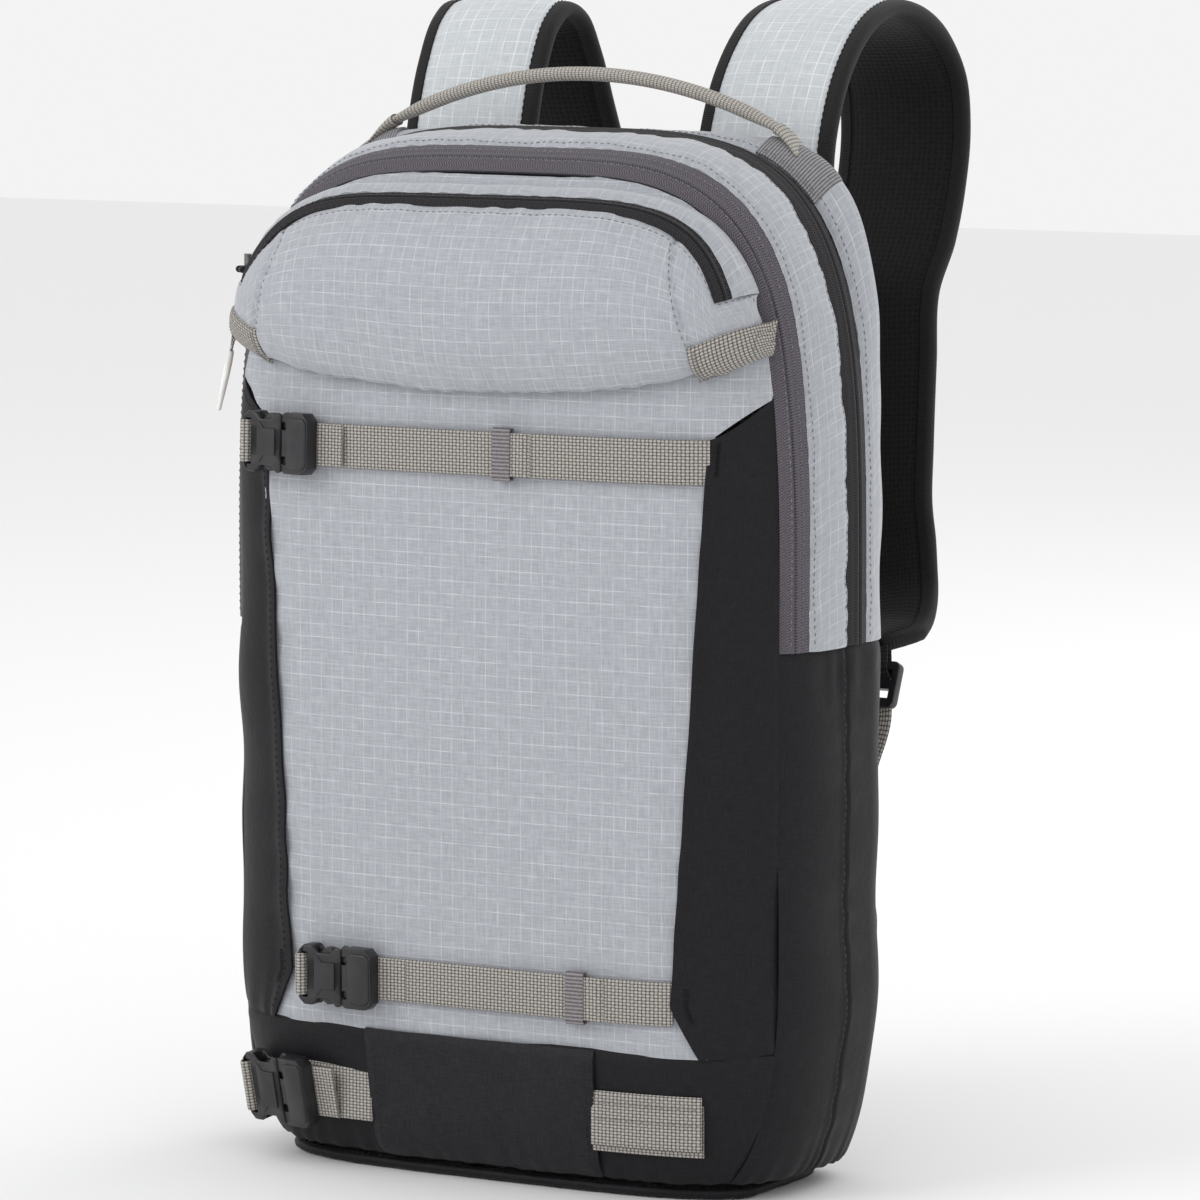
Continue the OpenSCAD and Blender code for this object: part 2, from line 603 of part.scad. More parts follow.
// Zip slider with a pin between two ears, and a pull that swings on the pin. Local -X is outwards.
pin_out = 6.4;
pin_r = 0.9;
eye_r = 2.4;
ear_y = 2.2;
module slider_block() {
    color(moulded) {
        translate([-3.4, -4.5, -7]) cube([3, 9, 14]);
        for (s = [-1, 1]) translate([-pin_out, s * (ear_y + 0.55) - 0.55, -1.6]) cube([pin_out - 2, 1.1, 3.2]);
        for (s = [-1, 1]) translate([-pin_out, s * (ear_y + 0.55) + 0.55, 0]) rotate([90, 0, 0])
            cylinder(h = 1.1, r = 1.6);
        translate([-pin_out, ear_y + 0.6, 0]) rotate([90, 0, 0]) cylinder(h = 2 * ear_y + 1.2, r = pin_r);
    }
}
pull_l = 48;
module pull_tab() {
    w = 2 * (ear_y - play);
    translate([-pin_out, 0, 0]) {
        color(moulded) difference() {
            union() {
                translate([0, w / 2, 0]) rotate([90, 0, 0]) cylinder(h = w, r = eye_r);
                translate([-0.8, -w / 2, -13]) cube([1.6, w, 12]);
            }
            translate([0, w, 0]) rotate([90, 0, 0]) cylinder(h = 2 * w, r = pin_r + play);
        }
        color(webbing) translate([0, 0, -21]) cylinder(h = 9, r = 1.1);
        color(pull_white) translate([0, 1.9, 0]) rotate([90, 0, 0]) linear_extrude(3.8)
            polygon([[-1.7, -20], [1.7, -20], [2.1, -28], [1.8, -38], [0.9, -pull_l], [-0.9, -pull_l],
                [-1.9, -38], [-2.1, -28]]);
    }
}
// Places its children on the left wall, -X outwards, with Z along the zip.
function lean_y(y, z) = atan(side_x(y + 0.5, z) - side_x(y - 0.5, z));
function lean_z(y, z) = atan(side_x(y, z - 0.5) - side_x(y, z + 0.5));
module on_left(y, z) {
    translate([-side_x(y, z), y, z]) rotate([0, 0, lean_y(y, z)]) rotate([0, lean_z(y, z), 0]) children();
}
main_slider_z = 306;
front_slider_z = 392;
module main_slider() { on_left(main_zip_y, main_slider_z) slider_block(); }
module main_pull() { on_left(main_zip_y, main_slider_z) pull_tab(); }
module front_slider() { on_left(front_zip_y, front_slider_z) slider_block(); }
module front_pull() { on_left(front_zip_y, front_slider_z) pull_tab(); }
module pocket_slider() {
    translate(pocket_pt(-136, 413, -1)) rotate([0, 0, 50]) slider_block();
}

back_panel();
back_foam();
frame_sheet();
laptop_sleeve();
rear_strip();
main_zip_rear();
side_panel_left();
side_panel_right();
divider_lower();
base_panel();
base_piping();
front_bottom_panel();
front_panel_lower();
wing_lower_left();
wing_lower_right();
lower_strap();
lower_keeper();
lower_buckle_socket();
lower_buckle_plug();
lower_buckle_arm_top();
lower_buckle_arm_bottom();
bottom_flap();
ski_strap();
ski_webbing();
ski_buckle_socket();
ski_buckle_plug();
handle_tabs();
haul_handle();
shoulder_strap_left();
shoulder_strap_right();
strap_webbing_left();
strap_webbing_right();
ladder_lock_left();
ladder_lock_right();
sternum_strap_left();
sternum_strap_right();
sternum_buckle_socket();
sternum_buckle_plug();
main_slider();
main_pull();
gusset();
main_zip_front();
front_zip();
divider_upper();
front_panel_upper();
wing_upper_left();
wing_upper_right();
upper_strap();
upper_keeper();
upper_buckle_socket();
upper_buckle_plug();
upper_buckle_arm_top();
upper_buckle_arm_bottom();
pocket_lower();
pocket_flap();
pocket_zip();
pocket_bars();
front_slider();
front_pull();
pocket_slider();
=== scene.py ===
"""The looks of the ski backpack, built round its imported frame.

Lengths are in millimetres and angles in degrees. MM turns a length to metres when a mesh is made.
+X is the viewer's right, -Y the front, +Z up, and the lid is everything in front of the main zip.
"""
import math

import bmesh
import bpy
import numpy as np
from mathutils import Matrix, Vector


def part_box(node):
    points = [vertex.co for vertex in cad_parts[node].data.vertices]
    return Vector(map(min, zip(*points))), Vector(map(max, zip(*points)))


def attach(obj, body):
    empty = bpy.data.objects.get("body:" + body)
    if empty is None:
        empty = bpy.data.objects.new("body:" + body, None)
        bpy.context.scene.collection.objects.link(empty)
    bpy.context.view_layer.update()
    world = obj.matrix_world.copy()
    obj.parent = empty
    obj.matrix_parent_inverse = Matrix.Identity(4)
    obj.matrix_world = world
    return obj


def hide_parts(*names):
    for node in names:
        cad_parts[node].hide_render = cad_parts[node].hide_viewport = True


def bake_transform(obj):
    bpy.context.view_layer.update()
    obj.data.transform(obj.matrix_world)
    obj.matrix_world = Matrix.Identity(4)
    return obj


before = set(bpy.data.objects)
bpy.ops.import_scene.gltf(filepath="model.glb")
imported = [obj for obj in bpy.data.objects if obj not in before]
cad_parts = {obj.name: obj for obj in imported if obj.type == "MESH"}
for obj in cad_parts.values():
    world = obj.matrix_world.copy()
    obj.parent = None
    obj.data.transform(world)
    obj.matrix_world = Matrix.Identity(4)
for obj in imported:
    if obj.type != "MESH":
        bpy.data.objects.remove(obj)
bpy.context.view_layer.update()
MM = 0.001
SIDES = (("left", -1), ("right", 1))


def low(node):
    """A node's lowest corner in millimetres."""
    return [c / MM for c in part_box(node)[0]]


def high(node):
    """A node's highest corner in millimetres."""
    return [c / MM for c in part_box(node)[1]]


def deselect():
    """Clears the selection, so that an operator acts on the new piece alone."""
    for each in bpy.context.selected_objects:
        each.select_set(False)


# ---------------------------------------------------------------- camera, light and floor

def stage():
    """The camera, the studio light and a matt white floor."""
    turn, tip, reach = math.radians(30.4), math.radians(6.6), 3.1333
    middle = Vector((0, 0.05, 0.246))
    back = Vector((math.sin(turn) * math.cos(tip), -math.cos(turn) * math.cos(tip), math.sin(tip)))
    data = bpy.data.cameras.new("camera")
    data.lens, data.shift_y, data.clip_end = 201.4, 0.0217, 30
    camera = bpy.data.objects.new("camera", data)
    camera.location = middle + back * reach
    camera.rotation_euler = (-back).to_track_quat("-Z", "Y").to_euler()
    bpy.context.collection.objects.link(camera)
    bpy.context.scene.camera = camera
    bpy.context.scene.view_settings.view_transform = "Standard"

    world = bpy.data.worlds.new("studio")
    world.use_nodes = True
    world.node_tree.nodes["Background"].inputs["Color"].default_value = (1, 1, 1, 1)
    world.node_tree.nodes["Background"].inputs["Strength"].default_value = 0.9
    bpy.context.scene.world = world
    for name, place, size, power in (
            ("key", (-1.5, -2.2, 1.9), 1.5, 24),
            ("fill", (2.4, -1.5, 1.2), 1.6, 6),
            ("rim", (0.6, 2.2, 1.8), 1.4, 14)):
        lamp = bpy.data.lights.new(name, "AREA")
        lamp.size = size
        lamp.energy = power
        light = bpy.data.objects.new(name, lamp)
        light.location = place
        light.rotation_euler = (Vector((0, 0.05, 0.24)) - light.location).to_track_quat("-Z", "Y").to_euler()
        bpy.context.collection.objects.link(light)

    deselect()
    bpy.ops.mesh.primitive_plane_add(size=14, location=(0, 0, -0.0005))
    floor = bpy.context.object
    floor.name = "floor"
    paint = bpy.data.materials.new("matt_white_paint")
    paint.use_nodes = True
    shader = paint.node_tree.nodes["Principled BSDF"]
    shader.inputs["Base Color"].default_value = linear("#f4f4f4")
    shader.inputs["Roughness"].default_value = 0.9
    floor.data.materials.append(paint)


# ---------------------------------------------------------------- finishes

def linear(code):
    """An sRGB hex colour as linear RGBA."""
    parts = [int(code[i:i + 2], 16) / 255 for i in (1, 3, 5)]
    return [c / 12.92 if c <= 0.04045 else ((c + 0.055) / 1.055) ** 2.4 for c in parts] + [1.0]


def add(tree, kind, settings=None, inputs=None):
    """Adds a node, sets it, fills its sockets with values or other outputs, and gives its first output."""
    node = tree.nodes.new("ShaderNode" + kind)
    for key, value in (settings or {}).items():
        setattr(node, key, value)
    for key, value in (inputs or {}).items():
        if isinstance(value, bpy.types.NodeSocket):
            tree.links.new(value, node.inputs[key])
        else:
            node.inputs[key].default_value = value
    return node.outputs[0]


def finish(name, **sockets):
    """A new material, its node tree and its shader, with the shader's own sockets set."""
    material = bpy.data.materials.new(name)
    material.use_nodes = True
    shader = material.node_tree.nodes["Principled BSDF"]
    for key, value in sockets.items():
        shader.inputs[key.replace("_", " ")].default_value = value
    return material, material.node_tree, shader


def cloth_axes(tree):
    """A place on the cloth in millimetres, from the piece's UV map, and its two parts."""
    uv = add(tree, "UVMap")
    mm = add(tree, "VectorMath", {"operation": "SCALE"}, {0: uv, "Scale": 1000})
    parts = add(tree, "SeparateXYZ", None, {0: mm}).node
    return mm, parts.outputs["X"], parts.outputs["Y"]


def threads(tree, mm, fine, long):
    """Uneven threads both ways: noise drawn out along each direction of the cloth."""
    runs = []
    for scale in ((1 / long, 1 / fine, 1), (1 / fine, 1 / long, 1)):
        placed = add(tree, "Mapping", None, {"Vector": mm, "Scale": scale})
        runs.append(add(tree, "TexNoise", None, {"Vector": placed, "Scale": 1, "Detail": 2}))
    return add(tree, "Math", {"operation": "ADD"}, {0: runs[0], 1: runs[1]})


def blend(tree, fac, first, second):
    """Mixes two colours. A Mix node's colour sockets are 6 and 7, and its colour output is 2."""
    return add(tree, "Mix", {"data_type": "RGBA"}, {"Factor": fac, 6: first, 7: second}).node.outputs[2]


def tint(tree, shader, fac, dark, light, near=0.0, far=1.0):
    """Colours the shader between two hex colours as fac goes from near to far."""
    ramp = add(tree, "MapRange", {"interpolation_type": "SMOOTHSTEP"},
               {"Value": fac, "From Min": near, "From Max": far})
    mixed = blend(tree, ramp, linear(dark), linear(light))
    tree.links.new(mixed, shader.inputs["Base Color"])
    return mixed


def bump(tree, shader, height, strength, distance):
    """Raises the surface by a height. distance is in millimetres."""
    normal = add(tree, "Bump", None, {"Height": height, "Strength": strength, "Distance": distance * MM})
    tree.links.new(normal, shader.inputs["Normal"])


def ripstop(name, base, line):
    """Ripstop nylon: a thin cloth with a pale, heavier thread every 6 mm each way.

    The fine weave is drawn coarser than the real one, which would be too fine to show.
    """
    material, tree, shader = finish(name, Roughness=0.6, Sheen_Weight=0.22, Sheen_Roughness=0.5,
                                    Specular_IOR_Level=0.35)
    mm, x, y = cloth_axes(tree)
    lines = []
    for axis, strong in ((x, 0.55), (y, 0.7)):
        wave = add(tree, "Math", {"operation": "PINGPONG"}, {0: axis, 1: 3.0})
        lines.append(add(tree, "MapRange", {"interpolation_type": "SMOOTHSTEP"}, {
            "Value": wave, "From Min": 0.06, "From Max": 0.36, "To Min": strong, "To Max": 0.0}))
    grid = add(tree, "Math", {"operation": "MAXIMUM"}, {0: lines[0], 1: lines[1]})
    worn = add(tree, "TexNoise", None, {"Vector": mm, "Scale": 0.09, "Detail": 3})
    patchy = add(tree, "MapRange", None, {"Value": worn, "From Min": 0.38, "From Max": 0.6,
                                          "To Min": 0.25, "To Max": 1.0})
    grid = add(tree, "Math", {"operation": "MULTIPLY"}, {0: grid, 1: patchy})
    weave = threads(tree, mm, 0.7, 9)
    cloth = tint(tree, shader, weave, base[0], base[1], 0.7, 1.3)
    tree.links.new(blend(tree, grid, cloth, linear(line)), shader.inputs["Base Color"])
    raised = add(tree, "Math", {"operation": "MULTIPLY_ADD"}, {0: grid, 1: 0.7, 2: weave})
    bump(tree, shader, raised, 0.35, 0.14)
    return material


def nylon(name, dark, light, rough=0.55):
    """Plain-weave nylon: dull, with a faint sheen, uneven threads and a soft crush. Drawn coarse to show."""
    material, tree, shader = finish(name, Roughness=rough, Sheen_Weight=0.03, Sheen_Roughness=0.45,
                                    Specular_IOR_Level=0.2)
    mm = cloth_axes(tree)[0]
    weave = threads(tree, mm, 0.6, 7)
    tint(tree, shader, weave, dark, light, 0.6, 1.4)
    crush = add(tree, "TexNoise", None, {"Vector": mm, "Scale": 0.06, "Detail": 4, "Roughness": 0.6})
    height = add(tree, "Math", {"operation": "MULTIPLY_ADD"}, {0: crush, 1: 5.0, 2: weave})
    bump(tree, shader, height, 0.5, 0.2)
    return material


def woven(name, gap, yarn, along=1.9, across=1.45):
    """Polyester webbing: a coarse basket weave, the yarns pale and the gaps between them painted dark as
    shade.
    """
    material, tree, shader = finish(name, Roughness=0.75, Sheen_Weight=0.08, Specular_IOR_Level=0.25)
    mm, x, y = cloth_axes(tree)
    waves = []
    for axis, pitch in ((x, along), (y, across)):
        turned = add(tree, "Math", {"operation": "MULTIPLY"}, {0: axis, 1: math.pi / pitch})
        waves.append(add(tree, "Math", {"operation": "SINE"}, {0: turned}))
    cells = add(tree, "Math", {"operation": "MULTIPLY"}, {0: waves[0], 1: waves[1]})
    rise = add(tree, "Math", {"operation": "ABSOLUTE"}, {0: cells})
    side = add(tree, "Math", {"operation": "MULTIPLY_ADD"}, {0: cells, 1: 0.22, 2: rise})
    fuzz = add(tree, "TexNoise", None, {"Vector": mm, "Scale": 1.1, "Detail": 3})
    mottle_and_painted_shade = add(tree, "Math", {"operation": "MULTIPLY_ADD"}, {0: fuzz, 1: 0.5, 2: side})
    # The colour follows the weave's height: gap is the painted shade colour, laid in the gaps between the
    # yarns, and yarn is the colour of their crowns.
    tint(tree, shader, mottle_and_painted_shade, gap, yarn, 0.15, 0.95)
    bump(tree, shader, rise, 0.8, 0.35)
    return material


def ribbed(name, dark, light, pitch, lean=0.0, rough=0.7):
    """A ribbed tape: fine ridges across it, slanted by lean, with painted shade darkening the grooves between
    them.
    """
    material, tree, shader = finish(name, Roughness=rough, Sheen_Weight=0.06, Specular_IOR_Level=0.3)
    mm, x, y = cloth_axes(tree)
    slant = add(tree, "Math", {"operation": "PINGPONG"}, {0: y, 1: 2.0})
    moved = add(tree, "Math", {"operation": "MULTIPLY_ADD"}, {0: slant, 1: lean, 2: x})
    turned = add(tree, "Math", {"operation": "MULTIPLY"}, {0: moved, 1: 2 * math.pi / pitch})
    ribs = add(tree, "Math", {"operation": "SINE"}, {0: turned})
    fuzz = add(tree, "TexNoise", None, {"Vector": mm, "Scale": 0.8, "Detail": 3})
    mottle_and_painted_shade = add(tree, "Math", {"operation": "MULTIPLY_ADD"}, {0: fuzz, 1: 2.2, 2: ribs})
    # The colour follows the ribs as well as the noise: dark is both the tape's darker mottle and painted
    # shade in the grooves between the ribs.
    tint(tree, shader, mottle_and_painted_shade, dark, light, -0.2, 2.4)
    bump(tree, shader, ribs, 0.6, 0.15)
    return material


def spacer_mesh(name, painted_hole_shade, yarn, cell=2.6):
    """Knitted spacer mesh: small open cells in a matt black knit, the cells painted darker as shade inside
    their openings.
    """
    material, tree, shader = finish(name, Roughness=0.85, Sheen_Weight=0.12, Specular_IOR_Level=0.25)
    mm = cloth_axes(tree)[0]
    cells = add(tree, "TexVoronoi", None, {"Vector": mm, "Scale": 1 / cell, "Randomness": 0.25})
    # The cell centres take the hole colour: painted shade, because the cells are open only in colour and
    # bump.
    tint(tree, shader, cells, painted_hole_shade, yarn, 0.2, 0.45)
    bump(tree, shader, cells, 0.6, 0.6)
    return material


def moulded(name, dark, light, rough, grain=0.5, depth=0.03, **sockets):
    """A moulding: an even colour with a fine spark-eroded grain."""
    material, tree, shader = finish(name, Roughness=rough, **sockets)
    place = add(tree, "TexCoord").node.outputs["Object"]
    mm = add(tree, "VectorMath", {"operation": "SCALE"}, {0: place, "Scale": 1000})
    fine = add(tree, "TexNoise", None, {"Vector": mm, "Scale": 1 / grain, "Detail": 3})
    wide = add(tree, "TexNoise", None, {"Vector": mm, "Scale": 0.12, "Detail": 2})
    tint(tree, shader, wide, dark, light, 0.3, 0.7)
    bump(tree, shader, fine, 0.5, depth)
    return material


def flecked_cord(name):
    """Braided accessory cord: grey with light and dark flecks."""
    material, tree, shader = finish(name, Roughness=0.8)
    mm = cloth_axes(tree)[0]
    flecks = add(tree, "TexVoronoi", None, {"Vector": mm, "Scale": 1.4})
    tint(tree, shader, flecks, "#d8d6d2", "#5a585a", 0.15, 0.6)
    bump(tree, shader, flecks, 0.5, 0.2)
    return material


LIGHT = ripstop("ripstop_nylon", ("#9a9da3", "#abaeb4"), "#cdd0d5")
PAD_TOP = ripstop("strap_ripstop_nylon", ("#b8bdc1", "#c8cccf"), "#eef0f2")
BLACK = nylon("black_nylon", "#0d0c0f", "#1b191d")
FLAP = nylon("bottom_flap_nylon", "#151417", "#262428")
LINING = nylon("grey_lining_taffeta", "#787b80", "#8b8e93", 0.65)
# Each webbing's first colour is painted shade for the gaps between its yarns.
WEBBING = woven("grey_webbing", "#3f3c39", "#b3aea8")
DARK_WEBBING = woven("black_webbing", "#060607", "#222124")
HANDLE_WEB = woven("tubular_webbing", "#5d5954", "#c4bfb8", 1.9, 0.9)
# For the ribbed tapes below, the first colour is both the darker mottle and the painted shade in the grooves
# between the ribs.
ZIP_BLACK = ribbed("black_zip_tape", "#0c0b0d", "#2b292d", 1.3, 0.6)
ZIP_GREY = ribbed("grey_zip_tape", "#3e3a41", "#68636a", 1.3, 0.6)
ELASTIC = ribbed("mauve_elastic", "#575255", "#918b8e", 1.7)
TAB = ribbed("grey_grosgrain_tape", "#57565a", "#98979a", 1.5)
BINDING = ribbed("black_grosgrain_binding", "#080809", "#1b1a1c", 1.0)
# The first colour is painted shade inside the mesh's open cells.
MESH = spacer_mesh("black_spacer_mesh", "#040405", "#161518")
ACETAL = moulded("black_acetal", "#18171a", "#252427", 0.38, Specular_IOR_Level=0.5)
ZINC = moulded("painted_zinc", "#1c1b1d", "#2c2a2d", 0.34, Metallic=0.35)
MILKY = moulded("milky_elastomer", "#dededb", "#efefed", 0.4, 2.0, 0.08, Subsurface_Weight=0.15)
SHEETING = moulded("natural_polyethylene", "#d9d7d0", "#e8e6e0", 0.38, 1.5, 0.05)
COIL = moulded("black_nylon_coil", "#0b0a0c", "#19181b", 0.38)
DARK_THREAD = moulded("black_polyester_thread", "#060507", "#121114", 0.6)
GREY_THREAD = moulded("grey_polyester_thread", "#6c6d71", "#808185", 0.6)
CORD = flecked_cord("flecked_accessory_cord")


# ---------------------------------------------------------------- the bag's own surfaces

half_w = round(high("rear_strip")[0])
split_z = round(low("rear_strip")[2])
top_h = round(high("main_zip_rear")[2]) - split_z
wide_y = 50
front_d = wide_y - round(low("front_panel_lower")[1])
foot_z, foot_k = 96, 136
back_y, corner_r, back_power = 58, 30, 6
front_zip = (low("front_zip")[1], high("front_zip")[1])
gap = 0.3


def mix(a, b, u):
    """A value between a and b, at u from 0 to 1."""
    return a + (b - a) * u


def room(z, out=0.0):
    """How much of the bag's outline is left at a height: 1 in the middle, 0 at its top edge."""
    return 1 - (np.maximum(z - split_z, 0) / (top_h + out)) ** 4 - (np.maximum(foot_z - z, 0) / foot_k) ** 2.2


def edge_in(y):
    """How far the rounded back edge has turned in at a depth."""
    e = np.clip(y - (back_y - corner_r), 0, corner_r - 0.2)
    return corner_r - np.sqrt(corner_r ** 2 - e ** 2)


def side_x(y, z):
    """The side wall's distance from the middle."""
    left = room(z) - (np.maximum(wide_y - y, 0) / front_d) ** 5
    return (half_w - edge_in(y)) * np.maximum(left, 0) ** 0.25


def front_y(x, z, out=0.0):
    """The front skin's depth, moved outwards by out."""
    left = room(z, out) - (np.abs(x) / (half_w + out)) ** 4
    return wide_y - (front_d + out) * np.maximum(left, 0.0001) ** 0.2


def dome(y, a):
    """A place on the arched top, at a depth and at an angle up from the right."""
    a = np.radians(a)
    k = (1 - (np.maximum(wide_y - y, 0) / front_d) ** 5) ** 0.25
    p = mix(4, back_power, np.clip((y - high("main_zip_rear")[1]) / 15, 0, 1))
    r = k / (np.abs(np.cos(a)) ** p + np.abs(np.sin(a)) ** p) ** (1 / p)
    return ((half_w - edge_in(y)) * r * np.cos(a), y + 0 * a,
            split_z + gap / 2 + (top_h - edge_in(y)) * r * np.sin(a))


# ---------------------------------------------------------------- building pieces

def arc(points, axis):
    """Distance run along one axis of a grid of points, or along a line of them."""
    steps = np.linalg.norm(np.diff(points, axis=axis), axis=-1)
    pad = [(0, 0)] * steps.ndim
    pad[axis] = (1, 0)
    return np.cumsum(np.pad(steps, pad), axis=axis)


tuck_reach = 2.2


def unit(v):
    """Vectors of length one."""
    return v / np.maximum(np.linalg.norm(v, axis=-1, keepdims=True), 1e-9)


def grid_faces(n, m):
    """The squares of a grid of n by m points."""
    i, j = np.meshgrid(np.arange(n - 1), np.arange(m - 1), indexing="ij")
    a = (i * m + j).ravel()
    return np.stack([a, a + 1, a + m + 1, a + m], axis=1)


class Piece:
    """A piece while it is put together: points, faces, and a UV and a finish for each face."""

    def __init__(self, name, *finishes):
        self.name, self.finishes = name, finishes
        self.points, self.faces, self.uvs, self.slots = [], [], [], []
        self.count = 0

    def put(self, points, faces, uvs, slot=0):
        self.faces += [[self.count + k for k in face] for face in faces]
        self.uvs += [uv for face in uvs for uv in face]
        self.slots += slot if isinstance(slot, list) else [slot] * len(faces)
        self.points += [tuple(p) for p in points]
        self.count += len(points)

    def make(self, body, nodes=(), bend=None, sharp=55):
        mesh = bpy.data.meshes.new(self.name)
        mesh.from_pydata(np.array(self.points) * MM, [], self.faces)
        layer = mesh.uv_layers.new(name="UVMap")
        layer.data.foreach_set("uv", (np.array(self.uvs) * MM).ravel())
        for each in self.finishes:
            mesh.materials.append(each)
        mesh.polygons.foreach_set("material_index", self.slots)
        solid = bmesh.new()
        solid.from_mesh(mesh)
        bmesh.ops.recalc_face_normals(solid, faces=solid.faces)
        solid.to_mesh(mesh)
        solid.free()
        mesh.shade_smooth()
        mesh.set_sharp_from_angle(angle=math.radians(sharp))
        piece = bpy.data.objects.new(self.name, mesh)
        bpy.context.collection.objects.link(piece)
        return settle(piece, body, nodes, bend)


def settle(piece, body, nodes=(), bend=None):
    """Fastens a piece to its body, or, when bend is given, bakes its transform and leaves it unfastened; and
    hides the CAD parts that it stands for.
    """
    if bend:
        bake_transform(piece)
    else:
        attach(piece, body)
    if nodes:
        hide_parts(*nodes)
    return piece


def shell(piece, f, nu, nv, thick=1.3, tuck=(0, 0, 0, 0), relief=None, centre=(0, 20, 240)):
    """Adds a cloth panel over the points that f(u, v) gives, and returns a way to find places on it.

    tuck is how deep each edge (u0, u1, v0, v1) turns in to its seam. relief(u, v, s, t) raises the cloth.
    The outer skin and the rims take the piece's first finish, and the inner skin the second.
    """
    u, v = np.meshgrid(np.linspace(0, 1, nu + 1), np.linspace(0, 1, nv + 1), indexing="ij")
    flat = np.stack(np.broadcast_arrays(*f(u, v)), axis=-1).astype(float)
    s, t = arc(flat, 0), arc(flat, 1)
    normal = unit(np.cross(np.gradient(flat, axis=0), np.gradient(flat, axis=1)))
    if np.sum(normal * (flat - np.array(centre))) < 0:
        normal = -normal
    rise = np.zeros_like(u)
    for depth, away in zip(tuck, (s, s[-1:] - s, t, t[:, -1:] - t)):
        rise -= depth * np.exp(-(away / tuck_reach) ** 2)
    mid_s = s - s[nu // 2: nu // 2 + 1]
    mid_t = np.broadcast_to(t[nu // 2], t.shape)
    if relief is not None:
        rise = rise + relief(u, v, mid_s, t)
    outer = flat + normal * rise[..., None]
    inner = flat + normal * (rise - thick)[..., None]
    n, m = nu + 1, nv + 1
    k = n * m
    skin = grid_faces(n, m)
    row, column = np.arange(n) * m, np.arange(m)
    rims = []
    for edge in (row, row + m - 1, column, column + (n - 1) * m):
        rims.append(np.stack([edge[:-1], edge[1:], edge[1:] + k, edge[:-1] + k], axis=1))
    rims = np.concatenate(rims)
    uv = np.stack([mid_s, mid_t], axis=-1).reshape(-1, 2)
    uv = np.concatenate([uv, uv])
    faces = np.concatenate([skin, rims, skin + k])
    slots = [0] * (len(skin) + len(rims)) + [1] * len(skin)
    piece.put(np.concatenate([outer.reshape(-1, 3), inner.reshape(-1, 3)]), faces.tolist(),
              uv[faces].tolist(), slots)

    def at(uu, vv):
        i, j = np.clip(uu, 0, 1) * nu, np.clip(vv, 0, 1) * nv
        a = np.clip(np.floor(i).astype(int), 0, nu - 1)
        b = np.clip(np.floor(j).astype(int), 0, nv - 1)
        p, q = (i - a)[..., None], (j - b)[..., None]
        corners = ((a, b, (1 - p) * (1 - q)), (a + 1, b, p * (1 - q)),
                   (a, b + 1, (1 - p) * q), (a + 1, b + 1, p * q))
        return tuple(sum(g[i, j] * share for i, j, share in corners) for g in (outer, normal))
    return at


def stitch(piece, at, route, slot, pitch=3.4, length=2.4, size=0.32):
    """A row of stitches along a route of (u, v) places on a panel."""
    route = np.array(route, float)
    grain = np.linspace(0, len(route) - 1, 400)
    uu = np.interp(grain, np.arange(len(route)), route[:, 0])
    vv = np.interp(grain, np.arange(len(route)), route[:, 1])
    line, normal = at(uu, vv)
    sew(piece, line, normal, slot, pitch, length, size)


def sew(piece, line, normal, slot, pitch=3.4, length=2.4, size=0.32):
    """A row of stitches along a line of points, each a small lozenge standing out along the normal."""
    run = arc(line, 0)
    for start in np.arange(pitch / 2, run[-1] - length, pitch):
        ends = [np.array([np.interp(d, run, line[:, k]) for k in range(3)]) for d in (start, start + length)]
        out = unit(np.array([np.interp(start, run, normal[:, k]) for k in range(3)]))
        side = unit(np.cross(ends[1] - ends[0], out)) * size
        middle = (ends[0] + ends[1]) / 2 + out * 0.1
        points = [ends[0], middle + side, middle - side,
                  middle + out * size * 1.3, middle - out * size, ends[1]]
        faces = [[0, 1, 3], [0, 3, 2], [0, 2, 4], [0, 4, 1], [5, 3, 1], [5, 2, 3], [5, 4, 2], [5, 1, 4]]
        piece.put(points, faces, [[(0, 0)] * 3] * 8, slot)


def tube(piece, rings, slot=0, closed=False):
    """Adds a closed skin through rings of points. closed joins the last ring to the first.

    slot is a finish's number, or one for each strip along the tube.
    """
    rings = np.array(rings, float)
    n, m = rings.shape[:2]
    centres = rings.mean(axis=1)
    run = arc(centres, 0)
    round_ring = np.concatenate([rings, rings[:, :1]], axis=1)
    girth = arc(round_ring, 1).mean(axis=0)
    faces, uvs, slots = [], [], []
    strips = slot if isinstance(slot, list) else [slot] * m
    for i in range(n - 1 + closed):
        j = (i + 1) % n
        s0, s1 = run[i], run[i] + np.linalg.norm(centres[j] - centres[i])
        for k in range(m):
            faces.append([i * m + k, i * m + (k + 1) % m, j * m + (k + 1) % m, j * m + k])
            uvs.append([(s0, girth[k]), (s0, girth[k + 1]), (s1, girth[k + 1]), (s1, girth[k])])
            slots.append(strips[k])
    if not closed:
        for i in (0, n - 1):
            faces.append([i * m + k for k in range(m)])
            uvs.append([(run[i], girth[k]) for k in range(m)])
            slots.append(strips[-1])
    piece.put(rings.reshape(-1, 3), faces, uvs, slots)


def smooth_line(points, count):
    """A smooth line of count points through a few given ones."""
    points = np.array(points, float)
    run = arc(points, 0)
    slope = np.gradient(points, run, axis=0)
    out = []
    for d in np.linspace(0, run[-1], count):
        i = min(max(np.searchsorted(run, d, side="right") - 1, 0), len(points) - 2)
        h = run[i + 1] - run[i]
        q = (d - run[i]) / h
        out.append(points[i] * (2 * q ** 3 - 3 * q ** 2 + 1) + slope[i] * h * (q ** 3 - 2 * q ** 2 + q)
                   + points[i + 1] * (3 * q ** 2 - 2 * q ** 3) + slope[i + 1] * h * (q ** 3 - q ** 2))
    return np.array(out)


